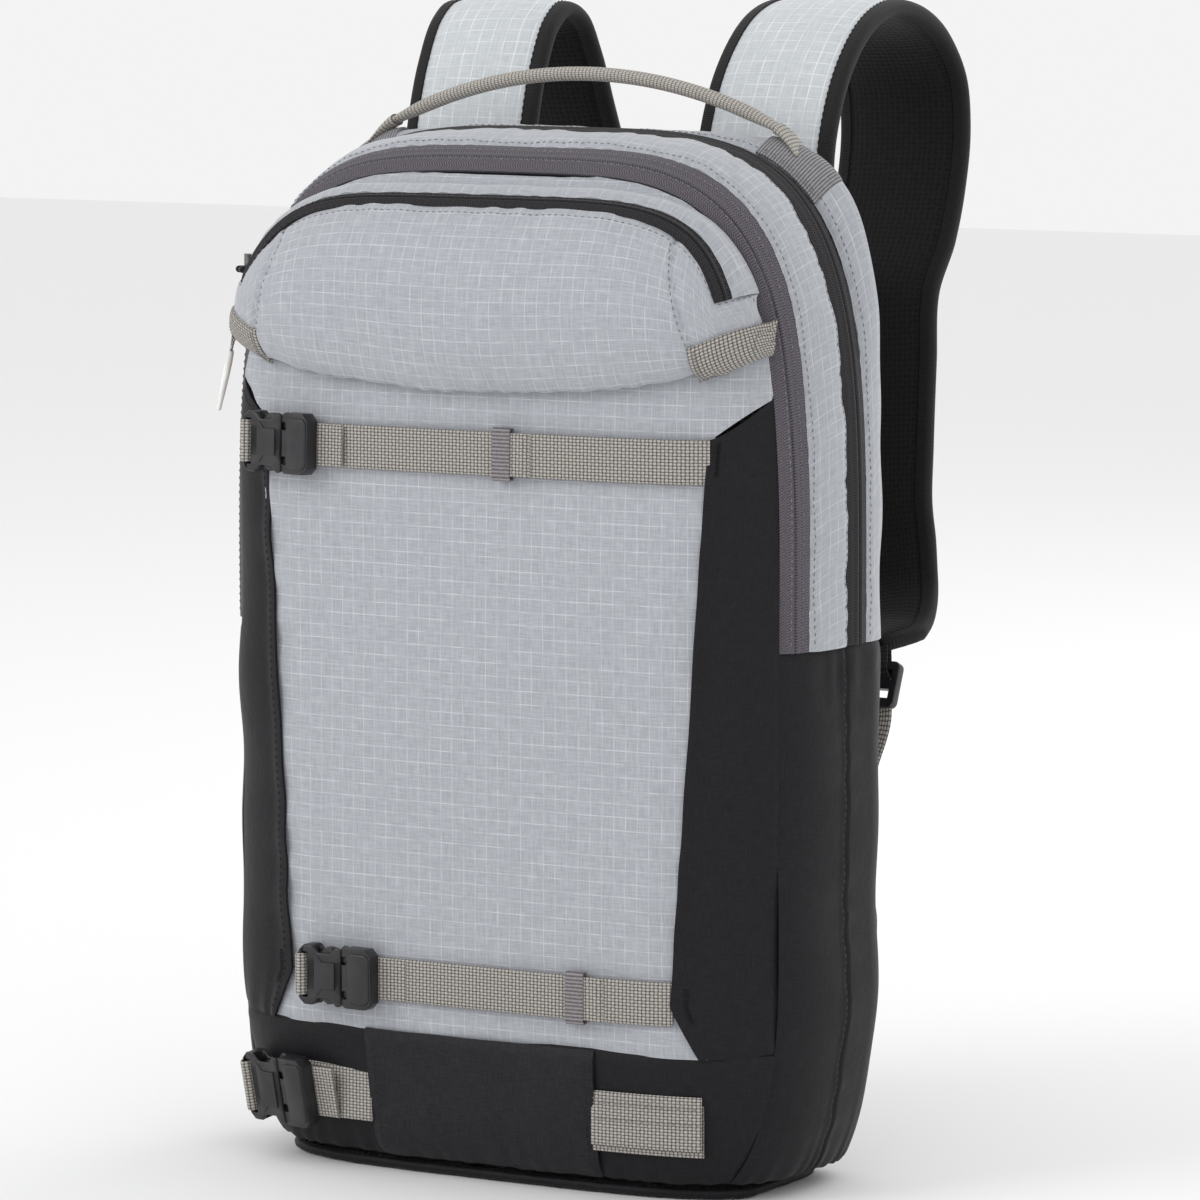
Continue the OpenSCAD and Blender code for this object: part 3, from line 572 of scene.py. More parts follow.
def frames(line, across, closed=False):
    """Width and outward directions along a line whose width lies near across."""
    line = np.array(line, float)
    if closed:
        ahead = unit(np.roll(line, -1, axis=0) - np.roll(line, 1, axis=0))
    else:
        ahead = unit(np.gradient(line, axis=0))
    across = np.broadcast_to(np.array(across, float), line.shape)
    across = unit(across - ahead * np.sum(ahead * across, axis=1, keepdims=True))
    return across, unit(np.cross(ahead, across))


def sweep(line, wide, out, shapes):
    """Rings round a line: each has a shape, as distances along the width and outwards."""
    return np.array([[p + a * x + b * o for a, b in shape]
                     for p, x, o, shape in zip(line, wide, out, shapes)])


def ribbon(piece, line, across, width, thick, slot=0, closed=False):
    """Adds flat webbing along a line, with rounded selvedges."""
    wide, out = frames(line, across, closed)
    w, t = np.broadcast_to(np.array(width, float) / 2, len(line)), thick / 2
    shape = [(-1, 0), (-0.97, 0.7), (-0.9, 1), (-0.4, 0.92), (0, 1), (0.4, 0.92), (0.9, 1), (0.97, 0.7),
             (1, 0), (0.97, -0.7), (0.9, -1), (0, -1), (-0.9, -1), (-0.97, -0.7)]
    shapes = [[(a * hw, b * t) for a, b in shape] for hw in w]
    tube(piece, sweep(np.array(line, float), wide, out, shapes), slot, closed)


def cord(piece, line, radius, slot=0, sides=10, closed=False, across=(0.3, 0.2, 1)):
    """Adds a round cord along a line."""
    wide, out = frames(line, across, closed)
    turn = np.radians(np.arange(sides) * 360 / sides)
    r = np.broadcast_to(np.array(radius, float), len(line))
    rings = [[p + rr * (math.cos(a) * x + math.sin(a) * o) for a in turn]
             for p, x, o, rr in zip(np.array(line, float), wide, out, r)]
    tube(piece, rings, slot, closed)


def folds(s, t, seed, spread, depth):
    """Soft random folds of cloth: a few bent waves about spread apart."""
    rng = np.random.default_rng(seed)
    total = np.zeros_like(s)
    for _ in range(7):
        turn, k = rng.uniform(0, math.pi), 2 * math.pi / (spread * rng.uniform(0.7, 1.8))
        phase = rng.uniform(0, 2 * math.pi, 2)
        bent = 1.3 * np.sin(k * 0.43 * (s * math.sin(turn) - t * math.cos(turn)) + phase[1])
        total += np.sin(k * (s * math.cos(turn) + t * math.sin(turn)) + phase[0] + bent)
    return depth * total / 3


def gather(along, away, seed, step, depth, reach):
    """Small puckers that run into a seam and die out over reach."""
    wander = 1.7 * np.sin(2 * math.pi * along / (3.7 * step) + seed) + np.sin(along / (1.9 * step) + 2 * seed)
    return depth * np.exp(-np.abs(away) / reach) * np.sin(2 * math.pi * along / step + wander)


def rounded(node, edge, finish_used, body, steps=2):
    """A copy of a CAD piece with its edges rounded, in place of the plain one."""
    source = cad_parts[node]
    mesh = source.data.copy()
    piece = bpy.data.objects.new(node + "_shape", mesh)
    bpy.context.collection.objects.link(piece)
    mesh.materials.clear()
    mesh.materials.append(finish_used)
    solid = bmesh.new()
    solid.from_mesh(mesh)
    bmesh.ops.remove_doubles(solid, verts=solid.verts, dist=1e-5)
    bmesh.ops.dissolve_limit(solid, angle_limit=math.radians(2), verts=solid.verts, edges=solid.edges)
    for face in solid.faces:
        face.material_index = 0
        face.smooth = True
    solid.to_mesh(mesh)
    solid.free()
    deselect()
    piece.select_set(True)
    bpy.context.view_layer.objects.active = piece
    bevel = piece.modifiers.new("edges", "BEVEL")
    bevel.width = edge * MM
    bevel.segments = steps
    bevel.limit_method = "ANGLE"
    bevel.angle_limit = math.radians(28)
    bpy.ops.object.modifier_apply(modifier="edges")
    mesh.set_sharp_from_angle(angle=math.radians(50))
    return settle(piece, body, [node])


stage()

# ---------------------------------------------------------------- front panel and wings

panel_low_z = round(low("front_panel_lower")[2])
panel_low_x, panel_top_x = 101, 117
notch_z, notch_x = 91, 12
wing_top_z, wing_rise = 346, 18
strap_z = {"upper": 336, "lower": 92}
lid_bend = ("root", "front_lid", (0, -62, split_z - 14), (0, -62, split_z + 14))


def panel_x(z):
    """Half the light front panel's width at a height."""
    straight = mix(panel_low_x, panel_top_x, (z - notch_z) / (wing_top_z - notch_z))
    notch = panel_low_x + notch_x * (notch_z - z) / (notch_z - panel_low_z)
    return np.where(z < notch_z, notch, straight)


def zip_x(z):
    """Half the width of the front, to the front zip."""
    return side_x(front_zip[0] - gap, z)


def upper_edge_x(z):
    """The light panel's edge: along the wing, up its slanted end, then along the zip."""
    rise = np.clip((z - wing_top_z) / wing_rise, 0, 1)
    slant = mix(panel_x(wing_top_z), zip_x(wing_top_z + wing_rise), rise)
    return np.where(z < wing_top_z, panel_x(z), np.where(rise < 1, slant, zip_x(z)))


def front_panel():
    """The light front cloth, pressed in under both cross straps and behind the pocket."""
    piece = Piece("front_panel", LIGHT, LINING)
    top = dome(front_zip[0], 90.0)[2] - 1.2

    def f(u, v):
        z = mix(panel_low_z - 1, top, v)
        x = mix(-1.0, 1.0, u) * (upper_edge_x(z) + 2.5 * (z < wing_top_z))
        return x, front_y(x, z), z

    def relief(u, v, s, t):
        z = mix(panel_low_z, top, v)
        edge = upper_edge_x(z) - np.abs(s)
        h = folds(s, t, 4, 110, 0.55) + gather(t, edge, 2, 31, 0.5, 16)
        h += 1.2 * np.exp(-((edge - 15) / 9) ** 2) * np.clip((330 - z) / 40, 0, 1)
        for strap in strap_z.values():
            h -= 0.9 * np.exp(-((z - strap) / 13) ** 2)
        h += gather(s, z - 368, 5, 17, 0.35, 22) * (z < 374)
        return h - 1.0 * np.clip((z - 384) / 20, 0, 1)
    shell(piece, f, 96, 170, tuck=(0, 0, 0.8, 0.8), relief=relief)
    piece.make("front_lid", ["front_panel_lower", "front_panel_upper"], lid_bend)


def wing(name, side):
    """Black corner cloth from the panel to the front zip, lapped over the panel's edge."""
    piece = Piece("wing_" + name, BLACK, LINING, DARK_THREAD)

    def f(u, v):
        z = mix(panel_low_z - 0.5, wing_top_z + wing_rise * u, v)
        x = mix(panel_x(z) - 0.5, zip_x(z), u ** 0.75)
        return side * x, front_y(x, z), z

    def relief(u, v, s, t):
        lap = 1.9 * np.exp(-(u / 0.09) ** 2) + 0.25
        return lap + folds(s, t, 11 + side, 70, 0.75) + gather(t, 40 * u, 3, 43, 0.5, 14) \
            + gather(s, t, 9, 11, 0.4, 12)
    at = shell(piece, f, 40, 150, tuck=(0, 0.9, 0.6, 0.2), relief=relief)
    stitch(piece, at, [(0.05, 0.01), (0.05, 0.99)], 2)
    stitch(piece, at, [(0.05, 0.985), (0.97, 0.985)], 2)
    for strap in strap_z.values():
        v = (strap - panel_low_z) / (wing_top_z - panel_low_z)
        for u in (0.075, 0.09, 0.105):
            stitch(piece, at, [(u, v - 0.03), (u, v + 0.03)], 2, 1.2, 1.0, 0.5)
    nodes = ["wing_lower_" + name, "wing_upper_" + name]
    piece.make("front_lid", nodes, lid_bend)


def side_panel(name, side):
    """A dark side of the lower body, with a sewn seam down it."""
    piece = Piece("side_panel_" + name + "_cloth", BLACK, LINING, DARK_THREAD)
    y0, y1, seam_y = front_zip[0] - gap, back_y - gap, 7

    def f(u, v):
        y, z = mix(y0, y1, u ** 0.85), mix(7.5, split_z - 0.2, v)
        return side * side_x(y, z), y, z

    def relief(u, v, s, t):
        y = mix(y0, y1, u ** 0.85)
        seam = y - seam_y
        h = folds(s, t, 21 + side, 85, 0.9) + gather(t, seam, 4, 23, 0.5, 8)
        return h - 1.3 * np.exp(-(seam / 1.1) ** 2) + 0.4 * np.exp(-((seam + 3) / 2) ** 2) \
            + gather(y, t, 6, 9, 0.5, 12) + gather(y, 235 - t, 6, 13, 0.3, 9)
    at = shell(piece, f, 90, 110, tuck=(0.5, 1.2, 1.2, 0.9), relief=relief)
    u_seam = ((seam_y - y0 - 2.4) / (y1 - y0)) ** (1 / 0.85)
    stitch(piece, at, [(u_seam, 0.01), (u_seam, 0.99)], 2)
    piece.make("root", ["side_panel_" + name])


def bottom_front():
    """The dark cloth across the bottom of the front."""
    piece = Piece("bottom_front_cloth", BLACK, LINING)

    def f(u, v):
        z = mix(7.5, panel_low_z + 0.6, v)
        x = mix(-1.0, 1.0, u) * zip_x(z)
        return x, front_y(x, z), z

    def relief(u, v, s, t):
        return folds(s, t, 31, 60, 0.6) + gather(s, t, 8, 12, 0.5, 10)
    shell(piece, f, 120, 24, tuck=(0.5, 0.5, 1.0, 1.3), relief=relief)
    piece.make("root", ["front_bottom_panel"])


def base_line(t, count):
    """The base's outline, drawn in by t: the front curve, then round both back corners."""
    w = side_x(wide_y, 0.0) - t
    turn = np.radians(np.linspace(-90, 90, count // 2))
    front = np.stack([w * np.sin(turn), front_y(w * np.sin(turn) * 0.995, 0.0, -t)], axis=1)
    r, c = corner_r - t, back_y - corner_r
    corners = []
    for first, cx in ((0, w - corner_r), (90, -w + corner_r)):
        a = np.radians(np.linspace(first, first + 90, 12))
        corners.append(np.stack([cx + corner_r * np.cos(a), c + r * np.sin(a)], axis=1))
    line = np.concatenate([front] + corners + [front[:1]])
    run = arc(line, 0)
    at = np.linspace(0, run[-1], count + 1)[:-1]
    return np.stack([np.interp(at, run, line[:, k]) for k in (0, 1)], axis=1)


def base():
    """Flat base cloth and the round piping sewn along its edge."""
    piece = Piece("base_cloth", BLACK, BLACK)
    count = 120
    edge = base_line(5.5, count)
    middle = np.array([0, 5.0])

    def f(u, v):
        i = (np.round(u * count).astype(int)) % count
        p = middle + (edge[i] - middle) * np.sin(v * math.pi / 2)[..., None]
        return p[..., 0], p[..., 1], 0.35 + 0 * u
    shell(piece, f, count, 16, thick=1.8)
    piece.make("root", ["base_panel"])

    piece = Piece("base_piping_cord", BLACK, DARK_THREAD)
    height = 2.5
    plump = 2.35 + 0.13 * np.sin(np.arange(count) * 2.1) + 0.1 * np.sin(np.arange(count) * 0.83)
    points = np.concatenate([base_line(3.2, count), np.full((count, 1), height)], axis=1)
    cord(piece, points, plump, 0, 12, closed=True, across=(0, 0, 1))
    out = unit(points - np.array([0, 0, height]))
    sew(piece, points + out * 1.9 + np.array([0, 0, 2.6]), out, 1)
    piece.make("root", ["base_piping"])


# ---------------------------------------------------------------- dome: gusset, back strip and zips

def band(name, y0, y1, finishes, body, node, slot, tuck, relief, nv, seams=(), power=1.0, teeth=None):
    """A strip of the dome between two depths. seams and teeth are rows at a v across it."""
    piece = Piece(name, *finishes)

    def f(u, v):
        return dome(mix(y0, y1, v ** power), 180 * u)
    at = shell(piece, f, 200, nv, tuck=tuck, relief=relief)
    for v in seams:
        stitch(piece, at, [(0.002, v), (0.998, v)], 2)
    if teeth is not None:
        places = np.linspace(0.002, 0.998, 700)
        line, normal = at(places, np.full(700, teeth))
        sew(piece, line - normal * 1.1, normal, 2, 2.1, 1.3, 0.8)
    piece.make(body, [node])


def dome_bands():
    """The gusset, the strip behind the main zip and both zips, which run over the arched top."""
    gusset_y = (high("front_zip")[1] - 0.2, low("main_zip_front")[1] + 0.2)
    main_y = low("main_zip_front")[1], low("main_zip_rear")[1] - 0.15, high("main_zip_rear")[1]

    def puffed(seed, amount, width):
        def relief(u, v, s, t):
            return amount * np.sin(math.pi * np.clip(t / width, 0, 1)) ** 0.7 + folds(s, t, seed, 48, 0.6) \
                + gather(s, t, seed + 1, 13, 0.45, 5) + gather(s, width - t, seed + 2, 15, 0.45, 5)
        return relief
    band("gusset_cloth", *gusset_y, (LIGHT, LINING, GREY_THREAD), "front_lid", "gusset", "ripstop",
         (0, 0, 1.0, 1.0), puffed(41, 1.1, 27), 24, seams=(0.08, 0.92))
    band("back_strip_cloth", main_y[2] - 0.1, back_y - gap, (LIGHT, LINING, GREY_THREAD), "root",
         "rear_strip", "ripstop", (0, 0, 1.0, 0.9), puffed(51, 0.8, 46), 30, seams=(0.05,), power=0.85)

    def front_slit(u, v, s, t):
        d = t - (front_zip[1] - front_zip[0]) / 2
        return 0.75 * np.exp(-(d / 2.6) ** 4) - 1.3 * np.exp(-(d / 0.45) ** 2) + folds(s, t, 61, 60, 0.25)
    band("front_zip_tape", *front_zip, (ZIP_GREY, ZIP_GREY, GREY_THREAD), "front_lid", "front_zip",
         "zip_grey", (0, 0, 0.9, 0.9), front_slit, 34, seams=(0.3, 0.7))

    def front_half(u, v, s, t):
        return 0.8 * np.exp(-((t - 7.2) / 1.9) ** 2) - 0.5 * (v > 0.99)

    def rear_half(u, v, s, t):
        return 0.8 * np.exp(-((t - 1.7) / 1.9) ** 2) - 0.5 * (v < 0.01)
    band("main_zip_front_tape", main_y[0], main_y[1], (ZIP_BLACK, ZIP_BLACK, COIL), "front_lid",
         "main_zip_front", "zip_black", (0, 0, 0.9, 0), front_half, 18, teeth=0.97)
    band("main_zip_rear_tape", main_y[1] + gap, main_y[2], (ZIP_BLACK, ZIP_BLACK, COIL), "root",
         "main_zip_rear", "zip_black", (0, 0, 0, 0.9), rear_half, 18, teeth=0.03)


# ---------------------------------------------------------------- top pocket

pocket_x, pocket_rise = 146, 206
pocket_bulge = 18
pocket_end = 137
flap_z = 404
zip_band, tape_share, zip_points = 9, 0.6, 161


def pocket_top(x):
    """The height of the pocket zip's outer edge."""
    return split_z + pocket_rise * np.maximum(1 - (np.abs(x) / pocket_x) ** 5, 0) ** 0.25


def pocket_seam(x):
    """The height of the seam under the pocket."""
    return 362 + 12 * (x / 112) ** 2


def pocket_point(x, z, out=0.0):
    """A place on the swollen pocket, out from its cloth."""
    v = np.clip((z - pocket_seam(x)) / np.maximum(pocket_top(x) - pocket_seam(x), 1), 0, 1)
    swell = 2.4 + pocket_bulge * np.sin(math.pi * v) ** 0.55 \
        * np.maximum(1 - (np.abs(x) / 140) ** 6, 0) ** 0.5
    return x, front_y(x, z, swell + out), z


def zip_edges():
    """The outer and inner edge of the pocket's zip, as x and z, from the left end to the right."""
    x = (pocket_end - 4) * np.sin(np.radians(np.linspace(-90, 90, zip_points)))
    z = pocket_top(x)
    slope = np.gradient(z, x)
    length = np.sqrt(1 + slope ** 2)
    return x, z, x + zip_band * slope / length, z - zip_band / length


def pocket():
    """The pocket's face, its zip, the cloth above the zip, and the bars at its lower corners."""
    outer_x, outer_z, inner_x, inner_z = zip_edges()
    right = slice(zip_points // 2, None)
    edge_x = np.concatenate([inner_x[right], [outer_x[-1], pocket_end]])
    edge_z = np.concatenate([inner_z[right], [outer_z[-1], pocket_top(pocket_end)]])
    piece = Piece("pocket_cloth", LIGHT, LINING, GREY_THREAD)

    def top(x):
        return np.interp(np.abs(x), edge_x, edge_z)

    def across(u):
        return pocket_end * np.sin(math.pi * (u - 0.5))

    def f(u, v):
        x = across(u)
        return pocket_point(x, mix(pocket_seam(x), top(x), v))

    def dart(v):
        return 119 - 16 * v

    def relief(u, v, s, t):
        x = across(u)
        h = folds(x, t, 71, 75, 0.9) + gather(x, t, 3, 14, 0.55, 11) + gather(x, 92 - t, 5, 19, 0.4, 9)
        for from_dart in (x + dart(v), x - dart(v)):
            h -= 1.5 * np.exp(-(from_dart / 1.3) ** 2) * np.clip(3 * v + 0.4, 0, 1)
            h += gather(t, from_dart, 7, 17, 0.5, 8)
        return h
    at = shell(piece, f, 170, 70, tuck=(1.0, 1.0, 1.8, 0.8), relief=relief)
    rows = np.linspace(0.03, 0.97, 30)
    for side in (-1, 1):
        beside = np.arcsin(side * (dart(rows) - 2.2) / pocket_end) / math.pi + 0.5
        stitch(piece, at, list(zip(beside, rows)), 2)
    stitch(piece, at, [(0.06, 0.965), (0.94, 0.965)], 2)
    bend = ("front_lid", "pocket_flap", (0, -79, flap_z - 9), (0, -79, flap_z + 9))
    piece.make("front_lid", ["pocket_lower", "pocket_flap"], bend)

    piece = Piece("pocket_zip_tape", ZIP_BLACK, ZIP_BLACK, DARK_THREAD)

    def slope(u, v):
        places = np.linspace(0, 1, zip_points)
        edges = [np.interp(u, places, e) for e in (inner_x, outer_x, inner_z, outer_z)]
        return pocket_point(mix(edges[0], edges[1], v), mix(edges[2], edges[3], v), 0.4)

    def slit(u, v, s, t):
        d = t - t[:, -1:] / 2
        return 0.7 * np.exp(-(d / 1.8) ** 4) - 1.1 * np.exp(-(d / 0.4) ** 2)
    at = shell(piece, lambda u, v: slope(u, tape_share * v), zip_points - 1, 26,
               tuck=(0.4, 0.4, 0.8, 0.8), relief=slit)
    for v in (0.12, 0.88):
        stitch(piece, at, [(0.01, v), (0.99, v)], 2)
    piece.make("front_lid", ["pocket_zip"])

    piece = Piece("pocket_gusset_cloth", LIGHT, LINING)
    shell(piece, lambda u, v: slope(u, mix(tape_share, 1.04, v)), zip_points - 1, 12,
          tuck=(0.4, 0.4, 0.9, 1.2),
          relief=lambda u, v, s, t: 0.6 + folds(s, t, 77, 40, 0.4) + gather(s, t, 3, 13, 0.4, 5))
    piece.make("front_lid", ())

    piece = Piece("pocket_corner_bars", WEBBING, WEBBING, GREY_THREAD)
    for side in (-1, 1):
        def bar(u, v):
            x = mix(113, 140.5, u)
            z = pocket_seam(x) - 2.5 + 15.5 * v + 0.2 * (x - 114)
            p = pocket_point(x, z, 0.9)
            return side * p[0], p[1], p[2]
        at = shell(piece, bar, 24, 12, tuck=(0.3, 0.3, 0.3, 0.3),
                   relief=lambda u, v, s, t: 1.1 + 0.35 * np.sin(math.pi * v) - 0.8 * (u < 0.02))
        for u in (0.08, 0.12, 0.88):
            stitch(piece, at, [(u, 0.08), (u, 0.92)], 2, 1.6, 1.3, 0.35)
    piece.make("front_lid", ["pocket_bars"])


# ---------------------------------------------------------------- straps and buckles on the front

def on_front(x, z):
    """The frame on the front skin at x, z: local X along the strap, -Y outwards."""
    yaw = math.atan(front_y(x + 0.5, z) - front_y(x - 0.5, z))
    pitch = -math.atan((front_y(x, z + 0.5) - front_y(x, z - 0.5)) * math.cos(yaw))
    return Matrix.Translation((x, front_y(x, z), z)) @ Matrix.Rotation(yaw, 4, "Z") \
        @ Matrix.Rotation(pitch, 4, "X")


def placed(frame_at, points):
    """Points of a local frame, in the bag's frame."""
    return np.array([frame_at @ Vector(p) for p in points])


def turned(frame_at, way):
    """A direction of a local frame, in the bag's frame."""
    return frame_at.to_3x3() @ Vector(way)


def front_line(x, z, out):
    """A level line across the front, out from its skin."""
    return np.stack([x, front_y(x, z, out), np.full(len(x), float(z))], axis=1)


def cross_strap(name, x0, x1, z, body, node, web=20, rise=1.6):
    """Webbing across the front, sewn down at both ends and a little clear between them."""
    piece = Piece(name, WEBBING)
    x = np.linspace(x0, x1, 90)
    clear = 1.05 + rise * np.clip(np.minimum(x - x0, x1 - x) / 12, 0, 1)
    ribbon(piece, front_line(x, z, clear), (0, 0, 1), web, 1.4)
    piece.make(body, [node])


def keeper(which, x, body):
    """Elastic round the strap, and the folded webbing end that it holds."""
    z = strap_z[which]
    at = on_front(x, z)
    piece = Piece(which + "_keeper_elastic", ELASTIC, WEBBING, GREY_THREAD)
    turn = np.radians(np.arange(0, 360, 9))
    deep, tall = 2.0, 11.7
    loop = [(-5.5, -2.8 - deep * np.sign(math.sin(a)) * abs(math.sin(a)) ** 0.45,
             tall * np.sign(math.cos(a)) * abs(math.cos(a)) ** 0.22) for a in turn]
    ribbon(piece, placed(at, loop), turned(at, (1, 0, 0)), 9.5, 0.8, 0, closed=True)
    fold = [(-1.5, -4.0, 0), (3, -4.3, 0), (7.6, -4.4, 0), (8.6, -4.0, 0), (8.8, -3.5, 0),
            (8.4, -3.3, 0), (3, -3.4, 0)]
    ribbon(piece, smooth_line(placed(at, fold), 40), turned(at, (0, 0, 1)), 19.6, 0.7, 1)
    edge = placed(at, [(6.4, -4.9, -9), (6.4, -4.9, 9)])
    sew(piece, smooth_line(edge, 20), np.tile(turned(at, (0, -1, 0)), (20, 1)), 2, 1.6, 1.2, 0.3)
    piece.make(body, [which + "_keeper"])


def press(name, outline, depth, y, at, body, edge):
    """A moulded plate in a buckle's frame: an outline in its X and Z, pressed out and edged."""
    deselect()
    bpy.ops.mesh.primitive_circle_add(vertices=len(outline), radius=1, fill_type="NGON")
    plate = bpy.context.object
    plate.name = name
    for vertex, (x, z) in zip(plate.data.vertices, outline):
        vertex.co = (x * MM, y * MM, z * MM)
    bpy.ops.object.mode_set(mode="EDIT")
    bpy.ops.mesh.select_all(action="SELECT")
    bpy.ops.mesh.extrude_region_move(TRANSFORM_OT_translate={"value": (0, -depth * MM, 0)})
    bpy.ops.mesh.select_all(action="SELECT")
    bpy.ops.mesh.normals_make_consistent(inside=False)
    bpy.ops.object.mode_set(mode="OBJECT")
    bevel = plate.modifiers.new("edges", "BEVEL")
    bevel.width = edge * MM
    bevel.segments = 3
    bpy.ops.object.modifier_apply(modifier="edges")
    bpy.ops.object.shade_smooth()
    move = at.copy()
    move.translation = at.translation * MM
    plate.data.transform(move)
    plate.data.set_sharp_from_angle(angle=math.radians(50))
    plate.data.materials.append(ACETAL)
    return settle(plate, body, ())


def buckle(which, at, parent, plug, web, arms):
    """Rounded copies of the buckle's pieces, with the ridge and panel moulded on their faces."""
    rounded(which + "_buckle_socket", 0.9, ACETAL, parent, 3)
    rounded(which + "_buckle_plug", 0.8, ACETAL, plug, 3)
    for arm in arms:
        rounded(which + "_buckle_" + arm, 0.6, ACETAL, which + "_" + arm, 2)
    tall = web / 2 - 0.5
    ridge = [(-9, tall), (-6.5, tall - 3.2), (0.6, tall - 3.2), (0.6, 3.4 - tall), (-6.5, 3.4 - tall),
             (-9, -tall), (-10.6, -tall), (-10.6, tall)]
    press(which + "_socket_panel", ridge, 0.7, -8.3, at, parent, 0.3)
    side = tall + 2.2
    half = [(7.6, side - 1.2), (9.2, side), (17.6, side), (19.4, side - 1.8)]
    panel = half + [(x, -z) for x, z in reversed(half)]
    press(which + "_plug_panel", panel, 1.5, -7.2, at, plug, 0.7)


def web_loop(name, at, turns, web, body):
    """Webbing turned round a buckle's bar, through points of the buckle's frame."""
    piece = Piece(name, WEBBING)
    ribbon(piece, smooth_line(placed(at, turns), 36), turned(at, (0, 0, 1)), web - 0.6, 1.1)
    piece.make(body, ())


def front_straps():
    """Both cross straps, each with its keeper, its buckle and the webbing turned round the buckle's bars."""
    off = 3.7
    for which, x, ends, parent, keep in (("upper", -101, (-122, 117.5), "front_lid", 22),
                                         ("lower", -69, (-94, 101.5), "root", 60)):
        z = strap_z[which]
        cross_strap(which + "_strap_web", *ends, z, parent, which + "_strap")
        keeper(which, keep, which + "_keeper")
        at = on_front(x, z) @ Matrix.Translation((0, -off, 0))
        buckle(which, at, parent, which + "_plug", 20, ("arm_top", "arm_bottom"))
        turns = [(-25, 1.6, 0), (-22.5, 0.4, 0), (-21.6, -4, 0), (-20.6, -8.6, 0), (-18.9, -9.5, 0),
                 (-17.2, -8.2, 0), (-16.4, -4, 0)]
        web_loop(which + "_socket_loop", at, turns, 20, parent)
        turns = [(15.8, -3.4, 0), (18, -0.9, 0), (21, -0.1, 0), (26, 0.9, 0), (34, 1.5, 0)]
        web_loop(which + "_plug_loop", at, turns, 20, which + "_plug")


# ---------------------------------------------------------------- bottom strap

def bottom_strap():
    """The strap across the foot, its buckle, the webbing on the right and the flap over its middle."""
    z, web = 36, 25
    cross_strap("ski_strap_web", -134, -58, z, "root", "ski_strap", web, 0.2)
    at = on_front(-106, z) @ Matrix.Translation((0, -3.1, 0))
    buckle("ski", at, "root", "ski_plug", web, ())
    turns = [(-28, 1.5, 0), (-23.5, 0.2, 0), (-21.8, -4, 0), (-20.6, -8.6, 0), (-18.9, -9.5, 0),
             (-17.2, -8.2, 0), (-16.4, -4, 0)]
    web_loop("ski_socket_loop", at, turns, web, "root")
    turns = [(15.8, -3.4, 0), (18, -0.9, 0), (21, -0.3, 0), (26, 0.4, 0), (32, 1.0, 0)]
    web_loop("ski_plug_loop", at, turns, web, "ski_plug")

    piece = Piece("ski_webbing_stack", WEBBING, GREY_THREAD)
    x = np.linspace(60, 113, 40)
    for drop, out in ((-1.8, 1.0), (1.2, 2.3)):
        ribbon(piece, front_line(x, z + drop, out), (0, 0, 1), web, 1.2)
    for row in (-7.5, -1, 1.2, 8.5, 10.6):
        sew(piece, front_line(x, z + row, 3.1), np.tile((0, -1, 0), (40, 1)), 1, 2.6, 1.9, 0.28)
    piece.make("root", ["ski_webbing"])

    piece = Piece("bottom_flap_cloth", FLAP, FLAP, DARK_THREAD)

    def f(u, v):
        z = mix(7.0, panel_low_z - 0.4, v)
        x = mix(-60 + 2.5 * (1 - v), 62 - 1.5 * (1 - v), u)
        return x, front_y(x, z, 2.9), z

    def relief(u, v, s, t):
        return folds(s, t, 81, 50, 0.5) + gather(s, t, 3, 13, 0.4, 10) - 2.2 * np.exp(-(t / 5) ** 2)
    at = shell(piece, f, 60, 30, tuck=(0.8, 0.8, 0.5, 1.4), relief=relief)
    for u in (0.035, 0.965):
        stitch(piece, at, [(u, 0.03), (u, 0.97)], 2)
    flap = piece.make("root", ["bottom_flap"])


# ---------------------------------------------------------------- haul handle

def handle():
    """The arched grip of tubular webbing, and the two tapes that hold its sewn ends."""
    reach, rise = 104, 24
    y, foot = 36, high("haul_handle")[2] - 3.5 - rise
    radius = (reach ** 2 + rise ** 2) / (2 * rise)
    half = math.asin(reach / radius)
    turn = np.linspace(-half, half, 90)
    height = foot + rise - radius + radius * np.cos(turn)
    line = np.stack([radius * np.sin(turn), np.full(90, float(y)), height], axis=1)
    piece = Piece("haul_handle_webbing", HANDLE_WEB)
    flat = np.exp(-((half - np.abs(turn)) / 0.05) ** 2)
    wide, out = frames(line, (0, 1, 0))
    a = np.radians(np.arange(0, 360, 20))
    shapes = [[((3.4 + 1.0 * k) * math.cos(c), (3.3 - 1.4 * k) * math.sin(c)) for c in a] for k in flat]
    tube(piece, sweep(line, wide, out, shapes))
    piece.make("haul_handle", ["haul_handle"])

    piece = Piece("handle_tab_tapes", TAB, TAB, GREY_THREAD, HANDLE_WEB)
    for side in (-1, 1):
        def tab(u, v):
            p = dome(mix(24.6, 47, v), mix(46.5, 57, u))
            return side * p[0], p[1], p[2]

        def over_end(u, v, s, t):
            return 1.5 + 1.6 * np.exp(-((v - 0.5) / 0.28) ** 2) * np.clip(1.6 * u, 0, 1)
        at = shell(piece, tab, 24, 20, tuck=(0.4, 0.4, 0.6, 0.6), relief=over_end)
        for v in (0.06, 0.1, 0.9, 0.94):
            stitch(piece, at, [(0.03, v), (0.97, v)], 2, 2.2, 1.6, 0.3)
        drop = ((102, 0.9), (104, -0.2), (108, -3.4), (112, -7.6), (115, -11))
        end = smooth_line([(x, y, foot + z) for x, z in drop], 24)
        wide, out = frames(end, (0, 1, 0))
        shapes = [[(mix(4.9, 7.5, k) * math.cos(c), mix(3.0, 1.1, k) * math.sin(c)) for c in a]
                  for k in np.linspace(0, 1, 24)]
        tube(piece, sweep(end, wide, out, shapes) * (side, 1, 1), 3)
    piece.make("root", ["handle_tabs"])


